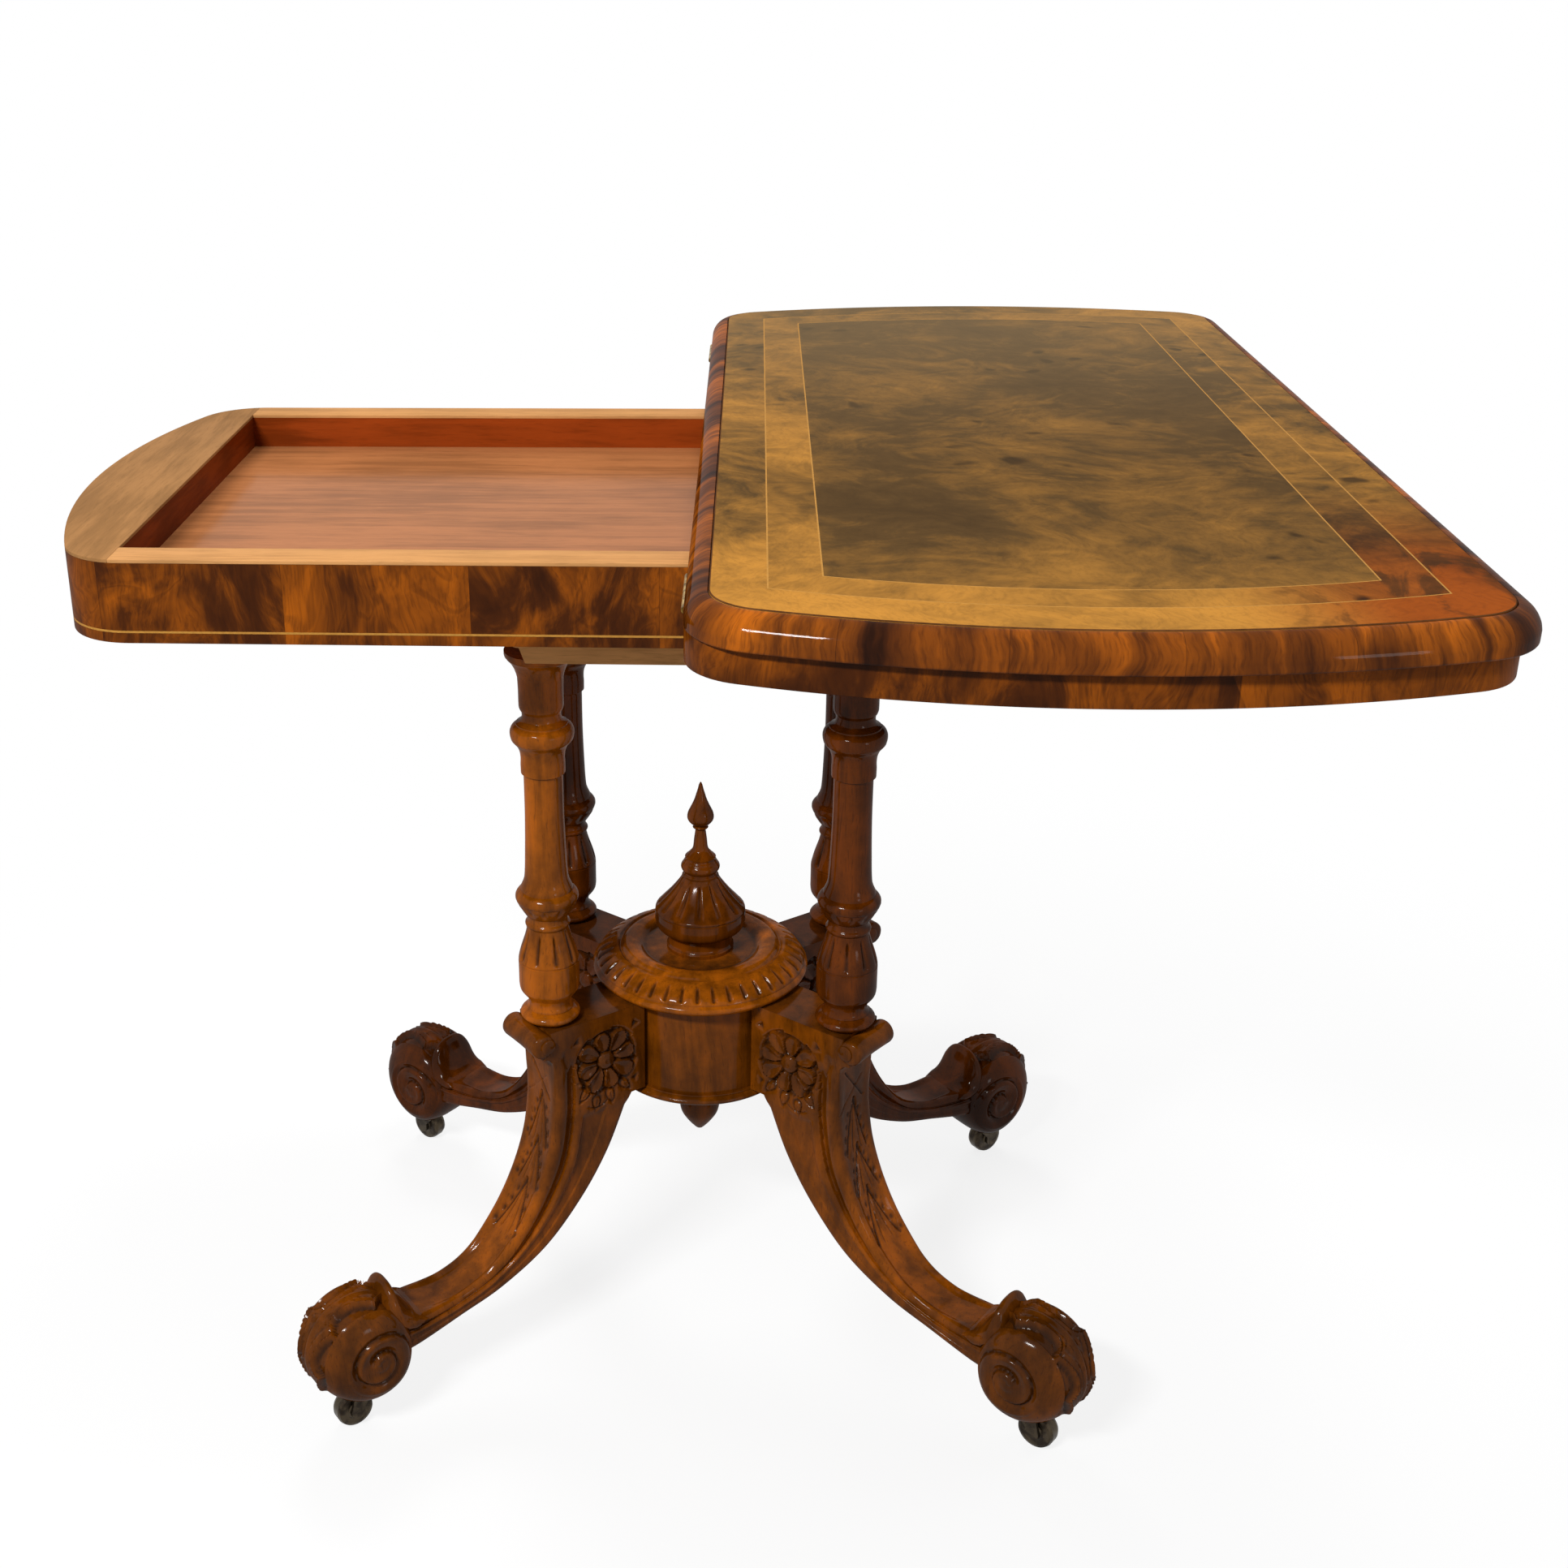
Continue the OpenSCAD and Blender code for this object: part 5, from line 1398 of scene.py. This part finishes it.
def flower(s, z, petals):
    """The flower on a shoulder and the small cuts round it: its height, and how hollow it is."""
    x, y = s - FLOWER_S, z - FLOWER_Z
    rho = np.hypot(x, y)
    share = np.arctan2(y, x) * petals / (2 * math.pi) + 0.25
    petal_width = rho * 2 * math.pi / petals
    off = np.abs(share - np.round(share))
    away = off * petal_width
    tip = 25.0 + 2.2 * np.mod(np.round(share), 2)
    run = np.clip((rho - 6) / (tip - 6), 0, 1)
    taper = 1 - (np.clip(run - 0.52, 0, 1) / 0.48) ** 2.2
    half = 0.475 * np.sqrt(np.clip(taper, 0, 1)) * ramp(run, -0.25, 0.35)
    inside = (half - off) * petal_width
    petal = ramp(inside, -0.3, 0.8) * (rho < tip)
    cup = notch(away, 3.4) * ramp(rho, tip - 1, tip - 7)
    crease = 0.7 * notch(away, 0.55) * ramp(rho, 7, 10) * ramp(rho, tip - 3, tip - 8)
    roll = 0.7 * np.sin(math.pi * np.clip(inside / 3.2, 0, 1)) * ramp(run, 0.15, 0.5)
    ground = 2.8 * ramp(rho, tip + 2.0, tip - 0.6) * ramp(rho, 6.5, 8)
    height = petal * (0.5 - cup - crease + roll) - ground * (1 - petal)
    height -= 0.9 * notch((0.5 - off) * petal_width, 0.5) * ramp(rho, 24, 18) * ramp(rho, 7, 9)
    button = ramp(rho, 7.6, 6.6)
    dome = 1.1 - 1.3 * (rho / 7) ** 2 + 0.5 * notch(rho - 2.4, 0.9)
    height = height * (1 - button) + dome * button - 1.6 * notch(rho - 7.9, 0.8)
    # Every point of the flower, petals too, counts at least 0.42 hollow, so that its finish darkens the whole
    # flower.
    deep = np.clip((-height - 0.3) / 2.4, 0.42, 0.9) * ramp(rho, 29, 26)
    for centre, degrees, long, wide in (
        ((99.5, 221.5), -100, 6.5, 3.4),
        ((112.5, 219.0), -82, 6.0, 3.2),
        ((122.5, 229.5), -50, 7.0, 3.4),
        ((86.0, 226.5), -130, 6.0, 3.2),
    ):
        u, v = seen_from(s, z, centre, degrees)
        drop = np.hypot(u / long, v / (wide * (1.05 - 0.45 * np.clip(u / long, -1, 1))))
        edge = notch((drop - 1) * wide, 0.8)
        height += 0.5 * ramp(drop, 1.0, 0.5) - 1.5 * edge - 0.7 * notch(v, 0.5) * (drop < 0.8)
        deep = np.maximum(deep, 0.85 * edge)
    for centre, degrees, wide in (
        ((77, 277.5), -20, 5.2),
        ((128.5, 277.0), 15, 5.2),
        ((77.5, 229.5), 40, 4.4),
        ((130, 240.5), -30, 4.2),
    ):
        u, v = seen_from(s, z, centre, degrees)
        wedge = np.maximum(-v, 0.87 * np.abs(u) + 0.5 * v) - wide / 2
        dip = ramp(wedge, 0.4, -wide * 0.42)
        height -= 2.0 * dip
        deep = np.maximum(deep, 0.9 * dip)
    return height, deep


def husks(y, down):
    """The three husks, the crossed cuts above them and the punched dots on a leg's outer face:
    their height, and how hollow they are."""
    # Painted shade in the cuts and dots: the first crossed cut is painted fully dark and the second only
    # about a third as dark, as light falls into the one and not the other.
    cuts = [((-13, 3), (12, 33), 0.9, 1.2, 1.0), ((9, 13), (-18, 38), 0.6, 0.8, 0.35)]
    dots = []
    height = np.zeros_like(y)
    for apex, long, *feet in ((31, 44, -12.5, 12.0), (71, 38, -11.5, 14.5), (106, 44, -12.0, 14.0)):
        for foot in feet:
            cuts.append(((0.5, apex), (foot, apex + long), 1.1, 1.6, 1.0))
            cuts.append(((0.5, apex), (foot * 0.42, apex + long * 0.98), 0.75, 0.9, 0.6))
            share = (down - apex) / long
            inside = (0 < share < 1) & (np.abs(y) < np.abs(foot * share)) & (y * foot > 0)
            height += 0.35 * inside
            for k in (0.26, 0.48, 0.70, 0.92):
                dots.append((foot * k + math.copysign(3.4, foot), apex + long * k))
    deep = np.zeros_like(y)
    for a, b, width, depth, dark in cuts:
        groove = notch(to_line(y, down, a, b), width)
        height -= depth * groove
        deep = np.maximum(deep, dark * groove)
    for dot_y, at in dots:
        dot = notch(np.hypot(y - dot_y, (down - at) * 0.7), 1.7)
        height -= 1.5 * dot
        deep = np.maximum(deep, dot)
    return height, deep


def leg_side(d, long, s, z, petals):
    """Half the leg's thickness at a distance d in from its outer face, and how hollow it is."""
    # The mouldings are as wide as the leg allows, and shallower where it is slim
    k = np.clip(long / 55, 0.55, 1)
    x = d / np.minimum(12.0, 0.24 * long)
    inner = long * 0.72
    roll = 2.2 * np.sin(math.pi * np.clip(x, 0, 1)) ** 0.8
    valley = -2.9 * k * np.sin(math.pi * np.clip((x - 1) / 0.75, 0, 1)) ** 1.2
    fillet = 1.2 * ramp(x, 1.55, 1.8) + k * np.sin(math.pi * np.clip((x - 1.5) / 0.75, 0, 1))
    moulded = SWEEP_HALF + np.where(x < 1, roll, np.where(x < 1.5, valley, fillet))
    moulded -= 1.3 * k * ramp(x, 2.05, 2.2) * ramp(d, inner + 0.6, inner - 0.6)
    moulded -= 0.9 * (1 - ramp(d, long - 0.2, long - 3.5))
    quirks = 0.3 * notch(x - 1.1, 0.12) + 0.4 * notch(x - 2.14, 0.07) + 0.4 * notch(d - inner, 0.7)
    face, deep = flower(s, z, petals)
    edge = 137.0 + 3.0 * ramp(z, 250, 272)
    groove = notch(s - edge, 1.5) * ramp(z, 276, 268)
    lunette = notch(np.abs(np.hypot(s - 111.5, z - 226) - 11.5), 0.7) * (z < 219) * ramp(z, 219.5, 217.5)
    face += SHOULDER_HALF - 1.5 * groove - lunette
    face -= 0.6 * ramp(s, edge, edge + 1.5) * ramp(z, 276, 266)
    deep = np.maximum.reduce([deep, 0.6 * groove, 0.7 * lunette])
    outer_part = ramp(x, 1.75, 1.55)
    fade = ramp(z, 207, 214) * (1 - outer_part) + ramp(z, 246, 268) * outer_part
    return moulded * (1 - fade) + face * fade, quirks * (1 - fade) + deep * fade


def leg_body(petals, carving):
    """Rows of the leg from its platform down to the foot, with how hollow each point is."""
    lines = leg_lines()
    inner, outer = lines[:, :2], lines[:, 2:]
    full = np.linalg.norm(outer - inner, axis=1)
    into = (inner - outer) / full[:, None]
    down = steps_along(outer)
    start = down[np.argmin(np.abs(outer - HUSK_START).sum(axis=1))]
    side_points, face_points, under_points = 74, 44, 14
    turn = np.radians(np.linspace(0, 90, 6)[1:-1])
    ri = 1.4
    rows, hollows = [], []
    for i, long in enumerate(full):
        low = ramp(outer[i, 1], 262, 236)
        ro = 1.3 + 3.9 * low
        d = np.linspace(long - ri, ro, side_points)
        s, z = (outer[i] + into[i] * d[:, None]).T
        h, deep = leg_side(d, long, s, z, petals)
        h = MIDDLE_HALF + (h - MIDDLE_HALF) * carving
        in_y, out_y = h[0] - ri, h[-1] - ro
        face_y = np.linspace(out_y, -out_y, face_points)
        rise, face_deep = husks(face_y, down[i] - start)
        sunk = (0.7 * low + 2.6 * ramp(outer[i, 1], 190, 112)) * ramp(outer[i, 0], 278, 236)
        face_d = sunk * ramp(np.abs(face_y), 17.2, 11) - rise * carving
        side_d = np.concatenate([long - ri + ri * np.cos(turn), d, ro - ro * np.sin(turn)])
        side_y = np.concatenate([in_y + ri * np.sin(turn), h, out_y + ro * np.cos(turn)])
        side_deep = np.pad(deep, len(turn))
        under_y = np.linspace(-in_y, in_y, under_points)
        loop_d = np.concatenate([np.full(under_points, long), side_d, face_d, side_d[::-1]])
        loop_y = np.concatenate([under_y, side_y, face_y, -side_y[::-1]])
        s, z = (outer[i] + into[i] * loop_d[:, None]).T
        rows.append(np.stack([s, loop_y, z], -1))
        plain = np.zeros(under_points)
        hollows.append(np.concatenate([plain, side_deep, face_deep, side_deep[::-1]]))
    # Painted shade: the platform's top face under the column is marked half hollow, so its finish paints it
    # darker.
    hollows[0][:] = 0.5
    return rows, hollows


def round_row(s, y, z, radius, turns):
    """A ring of points about a level axis across the leg."""
    ring = (s + radius * np.cos(turns), y, z + radius * np.sin(turns))
    return np.stack(np.broadcast_arrays(*ring), -1)


def foot_rows():
    """The scroll foot: its two volutes, its barrel and the carved leaf over its toe, as rows
    round the eye from one side's middle across to the other's."""
    degrees = np.arange(0, 360, 360 / 220)
    turns = np.radians(degrees)
    signed = (degrees + 180) % 360 - 180
    scroll = [(-180, 31), (-150, 32), (-120, 35.5), (-90, 39.5), (-45, 41.5), (0, 44.5)]
    scroll += [(50, 47), (90, 44.5), (120, 40), (150, 34), (180, 31)]
    reach = np.interp(signed, *zip(*scroll))
    reach = sum(np.roll(reach, k) for k in range(-9, 10)) / 19
    flare = 0.19 * notch(degrees - 176, 44)
    rows, hollows = [], []

    def volute(rho):
        """Rise of a side face and how hollow it is, by distance from the eye: a groove that winds
        in, with a rolled edge beside it."""
        height = 2.2 + 1.1 * ramp(rho, 8.0, 5.0) * (1 - (rho / 9) ** 2)
        deep = np.zeros(len(turns))
        for lap in (-1, 0, 1):
            t = ((180 - degrees) % 360) / 360 + lap
            x = rho - 27.0 + 14.0 * t
            live = ramp(t, -0.12, 0.02) * ramp(t, 1.52, 1.36)
            height = height + (notch(x + 3.6, 2.6) - 3.0 * notch(x, np.where(x < 0, 1.25, 3.6))) * live
            deep = np.maximum(deep, notch(x + 0.2, 1.1) * live)
        flat = 1 - ramp(rho, 24.5, 29.0)
        return height * flat, 0.9 * deep * flat

    def leaf(y):
        """Rise of the toe leaf over the barrel, by angle and distance across: three pointed lobes a
        side, turned back towards the collar, with sunk ground between them and the scroll."""
        live = ramp(signed, -36, -26) * ramp(signed, 126, 117)
        width = 9.2 - 2.0 * ramp(signed, 10, -30)
        for tip, more in ((97, 8.5), (46, 11.0), (-2, 9.5)):
            side = np.where(signed > tip, 6.0, 26.0)
            width += more * np.exp(-np.abs((signed - tip) / side) ** 1.15)
        inside = width - abs(y)
        body = ramp(inside, -0.5, 1.7)
        swell = 1.4 * np.sin(math.pi * np.clip((signed + 40) / 172, 0, 1)) + 0.5
        curl = 2.0 * notch(inside - 2.3, 1.7)
        ribs = 0.8 * np.sin(2 * math.pi * (inside / 7.0 + 0.1)) * ramp(abs(y), 3.0, 5.5)
        spine = 0.9 * notch(y, 1.7) - 0.8 * notch(abs(y) - 3.4, 1.1)
        sunk = (1 - body) * ramp(abs(y), 20.6, 18.6) * ramp(signed, -30, -20) * ramp(signed, 118, 110)
        line = notch(inside + 0.4, 1.2) * ramp(abs(y), 20.6, 19.0)
        # Painted shade: the valleys between the ribs, a shadow line round the leaf's edge and the sunk ground
        # are marked hollow, for the finish to darken.
        deep = np.maximum.reduce([0.6 * body * np.clip(-ribs, 0, 1), line, 0.42 * sunk])
        return (body * (swell + curl + ribs + spine) - 2.1 * sunk) * live, deep * live

    def put(rho, y, deep):
        """Adds a row, drawn in to the leg's own width where the leg runs into the foot."""
        rows.append(round_row(EYE_S, y * (1 - flare * ramp(rho, 15, 29)), EYE_Z, rho, turns))
        hollows.append(deep)

    side = [(rho, *volute(rho)) for rho in np.linspace(0.0, FACE_RADIUS, 32)]
    for rho, rise, deep in side:
        put(rho, -FOOT_HALF - rise, deep)
    for y in FOOT_HALF * np.sin(np.radians(np.linspace(-90, 90, 62)))[1:-1]:
        swell = ((1 - (abs(y) / 33.6) ** 3) ** (1 / 3) - 0.656) / 0.344
        rise, deep = leaf(y)
        put(FACE_RADIUS + (reach - FACE_RADIUS) * max(swell, 0) + rise, y, deep)
    for rho, rise, deep in reversed(side):
        put(rho, FOOT_HALF + rise, deep)
    return rows, hollows


def collar_rows():
    """The lip over the top of the scroll: the leg's channel sweeps up into it, its rim arches from
    side to side and its front drops into a recess before the leaf."""
    back = [(262, 84), (268, 87.4), (275, 91.2), (280.4, 97.2), (284.4, 105), (287.2, 113)]
    rim = [(288.6, 117.4), (290.6, 119), (292.9, 118.3), (294.6, 115.6)]
    front = [(296.4, 111.6), (297.8, 106.6), (297.6, 101.6), (294.6, 96), (289, 88), (280, 80)]
    s, z = np.array(flow(back, 1.4) + flow(rim, 0.7) + flow(front, 1.4) + [(271, 78.5)]).T
    rows = []
    for y in 25.2 * np.sin(np.radians(np.linspace(-90, 90, 60))):
        t = abs(y) / 25.2
        close = math.sqrt(max(1 - t**9, 0.0)) * 0.998 + 0.002
        up = np.where(z > 88, (z - 88) * (1 - 0.60 * t**2.6), z - 88) * close
        rows.append(np.stack(np.broadcast_arrays(286 + (s - 286) * close, y, 88 + up), -1))
    # Painted shade: the lower front face of the lip, above the recess, is marked hollow for its finish to
    # darken.
    return rows, 0.8 * np.clip((s - 295) / 2, 0, 1) * np.clip((106 - z) / 6, 0, 1)


def roll_rows():
    """The roll that caps a shoulder, with a small boss at each end and nothing hollow."""
    turns = np.radians(np.arange(0, 360, 6))
    boss = [(0.2, 0), (4.9, 0), (6.0, 0.8), (6.0, 1.8), (7.0, 2.0), (8.6, 2.5), (9.3, 3.6), (9.6, 5.4)]
    line = [(r, along - 25.5) for r, along in boss] + [(9.3, -12.0)]
    line += [(9.1, 0.0)] + [(r, -y) for r, y in reversed(line)]
    rows = []
    for r, y in line:
        shift = 3.0 * (1 - np.clip((r - 6) / 3, 0, 1)) * (abs(y) > 20)
        rows.append(round_row(158 - shift, y, 283.2, r, turns))
    return rows, 0.0


class GAMES_TABLE_OT_legs(bpy.types.Operator):
    """Four scroll legs: carved shoulder, moulded sweep, collar and volute foot"""

    bl_idname = "games_table.legs"
    bl_label = "Scroll legs"

    def execute(self, context):
        s = context.scene.table_leg
        body = leg_body(s.petals, s.carving)
        parts = [
            skin(name, rows, hollow=deep, angle=angle)
            for name, (rows, deep), angle in (
                ("leg", body, 38),
                ("foot", foot_rows(), 40),
                ("collar", collar_rows(), 50),
                ("roll", roll_rows(), 40),
            )
        ]
        plate_top, plate_radius = 34.6, 20.8
        cut(parts[1], [rod(CASTOR_REACH, 0, 10, plate_top, plate_radius)])
        pick(parts[0])
        for part in parts[1:]:
            part.select_set(True)
        bpy.ops.object.join()
        first = new_piece("leg")
        wheel = middle("castor_wheel_br")
        for corner, (sx, sy) in CORNERS.items():
            turn = math.degrees(math.atan2(sy * wheel.y, sx * wheel.x))
            piece = copy_turned(first, "leg_carved_" + corner, turn)
            # Painted shade: the back legs take the darker copy of the walnut, for the shade they stand in.
            finish = "leg" if sy < 0 else "dark_leg"
            seat(piece, "base", "carved_walnut", ["leg_" + corner], finish)
        bpy.data.objects.remove(first)
        return {"FINISHED"}


class GAMES_TABLE_OT_fittings(bpy.types.Operator):
    """Finishes of the frame's own parts: the well, rails, hinges, swivel and castors"""

    bl_idname = "games_table.fittings"
    bl_label = "Well and fittings"

    def execute(self, context):
        sides = ["well_lining_left", "well_lining_right"]
        rails = ["pivot_rail", "cross_rail_left", "cross_rail_right"]
        swivel = ["pivot_plate", "pivot_bolt", "pivot_washer", "pivot_nut"]
        castors = [part + corner for part in ("castor_fork_", "castor_wheel_") for corner in CORNERS]
        for finish, nodes in (
            ("floor", ["well_floor"]),
            ("mahogany", ["well_lining_front", "well_lining_back"]),
            ("end_mahogany", sides + rails),
            ("brass", ["hinge_moving_plates", "hinge_fixed_plates", "hinge_pins"]),
            ("iron", swivel + castors + ["bearer_screws", "castor_plates"]),
        ):
            for node in nodes:
                finish_with(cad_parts[node], finish)
        return {"FINISHED"}


# Stage


def floor_finish():
    """A white floor that keeps the table's shadow and runs out into the white background."""
    f = Finish("white_floor")
    camera = f.add("ShaderNodeLightPath").outputs["Is Camera Ray"]
    f.set(Base_Color=f.blend(camera, (0.40, 0.39, 0.37), (1.0, 1.0, 1.0)))
    f.set(Roughness=0.9, Specular_IOR_Level=0.0)
    x, y, _ = f.parts(f.place())
    glow = f.add("ShaderNodeEmission", Color=(1, 1, 1), Strength=1.0)
    share = f.times(f.stretch(f.from_middle(x, y), 0.35, 1.2, 0.82, 1.0), f.seen())
    f.show(share, f.shader, glow)
    return f.material


def white_world(world, ambient):
    """White wherever the camera or a polished face sees it, and a soft light elsewhere."""
    m = Mixer(world, "ShaderNodeOutputWorld")
    soft = m.add("ShaderNodeBackground", Color=(1, 1, 1), Strength=ambient)
    m.show(m.seen(), soft, m.add("ShaderNodeBackground", Color=(1, 1, 1)))


def area_lamp(name, place, target, high, watts, shows=True, wide=1.0):
    """A lamp aimed at a point, wide times as broad as high. One that doesn't show is left out of
    the reflections."""
    deselect()
    bpy.ops.object.light_add(type="AREA", location=place)
    lamp = new_piece(name)
    lamp.data.shape = "RECTANGLE"
    lamp.data.size = high * wide
    lamp.data.size_y = high
    lamp.data.energy = watts
    lamp.visible_glossy = shows
    aim = Vector(target) - Vector(place)
    lamp.rotation_euler = aim.to_track_quat("-Z", "Y").to_euler()


class GAMES_TABLE_OT_stage(bpy.types.Operator):
    """White floor, studio lamps and the camera"""

    bl_idname = "games_table.stage"
    bl_label = "Stage"

    def execute(self, context):
        scene = context.scene
        deselect()
        bpy.ops.mesh.primitive_plane_add(size=90)
        floor = new_piece("floor")
        floor.data.materials.append(floor_finish())
        scene.world = bpy.data.worlds.new("white_room")
        white_world(scene.world, 0.25)
        area_lamp("front_left_lamp", (-0.85, -1.6, 1.85), (0.0, 0, 0.42), 0.17, 42, True, 3.4)
        area_lamp("front_right_lamp", (1.9, -2.3, 0.9), (0.1, 0, 0.4), 0.5, 5)
        area_lamp("high_lamp", (0.3, 0.3, 3.2), (0.1, 0, 0.6), 0.8, 22, False)
        area_lamp("back_lamp", (-0.5, 1.9, 2.3), (0.0, 0, 0.4), 0.9, 24, False)
        area_lamp("right_lamp", (2.6, 0.8, 1.8), (0.0, 0, 0.4), 1.5, 12, False)

        yaw, pitch, roll = (math.radians(a) for a in (-3.605, 23.12, -0.671))
        level = Vector((math.cos(yaw), -math.sin(yaw), 0))
        ahead = Vector((math.sin(yaw), math.cos(yaw), 0)) * math.cos(pitch)
        ahead.z = -math.sin(pitch)
        upright = level.cross(ahead)
        right = level * math.cos(roll) + upright * math.sin(roll)
        up = upright * math.cos(roll) - level * math.sin(roll)
        deselect()
        bpy.ops.object.camera_add()
        camera = new_piece("camera")
        turn = Matrix((right, up, -ahead)).transposed().to_4x4()
        camera.matrix_world = Matrix.Translation((0.0347, -1.3819, 1.0520)) @ turn
        camera.data.sensor_width = 36
        camera.data.lens = 45.716
        camera.data.shift_x = 0.0973
        camera.data.shift_y = -0.00985
        camera.data.clip_end = 200
        scene.camera = camera
        scene.view_settings.view_transform = "Standard"
        return {"FINISHED"}


SETTINGS = {
    "table_top": TopSettings,
    "table_frieze": FriezeSettings,
    "table_pedestal": PedestalSettings,
    "table_leg": LegSettings,
    "table_finish": FinishSettings,
}


class GAMES_TABLE_PT_build(bpy.types.Panel):
    """The table's settings and the steps that build it"""

    bl_label = "Games table"
    bl_idname = "GAMES_TABLE_PT_build"
    bl_space_type = "VIEW_3D"
    bl_region_type = "UI"
    bl_category = "Games table"

    def draw(self, context):
        for group, settings in SETTINGS.items():
            part = self.layout.box()
            part.label(text=settings.__doc__)
            for name in settings.__annotations__:
                part.prop(getattr(context.scene, group), name)
        for step in STEPS:
            self.layout.operator(step.bl_idname)


STEPS = (
    GAMES_TABLE_OT_finishes,
    GAMES_TABLE_OT_upper_panel,
    GAMES_TABLE_OT_thumb_moulding,
    GAMES_TABLE_OT_lower_leaf,
    GAMES_TABLE_OT_baize,
    GAMES_TABLE_OT_frieze,
    GAMES_TABLE_OT_border,
    GAMES_TABLE_OT_bearers,
    GAMES_TABLE_OT_columns,
    GAMES_TABLE_OT_drum,
    GAMES_TABLE_OT_finial,
    GAMES_TABLE_OT_legs,
    GAMES_TABLE_OT_fittings,
    GAMES_TABLE_OT_stage,
)
CLASSES = (*SETTINGS.values(), *STEPS, GAMES_TABLE_PT_build)


def register():
    for cls in CLASSES:
        bpy.utils.register_class(cls)
    for name, settings in SETTINGS.items():
        setattr(bpy.types.Scene, name, PointerProperty(type=settings))


def unregister():
    for name in SETTINGS:
        delattr(bpy.types.Scene, name)
    for cls in reversed(CLASSES):
        bpy.utils.unregister_class(cls)


def main():
    register()
    for step in STEPS:
        name = step.bl_idname.split(".")[1]
        getattr(bpy.ops.games_table, name)()


if __name__ == "__main__":
    main()
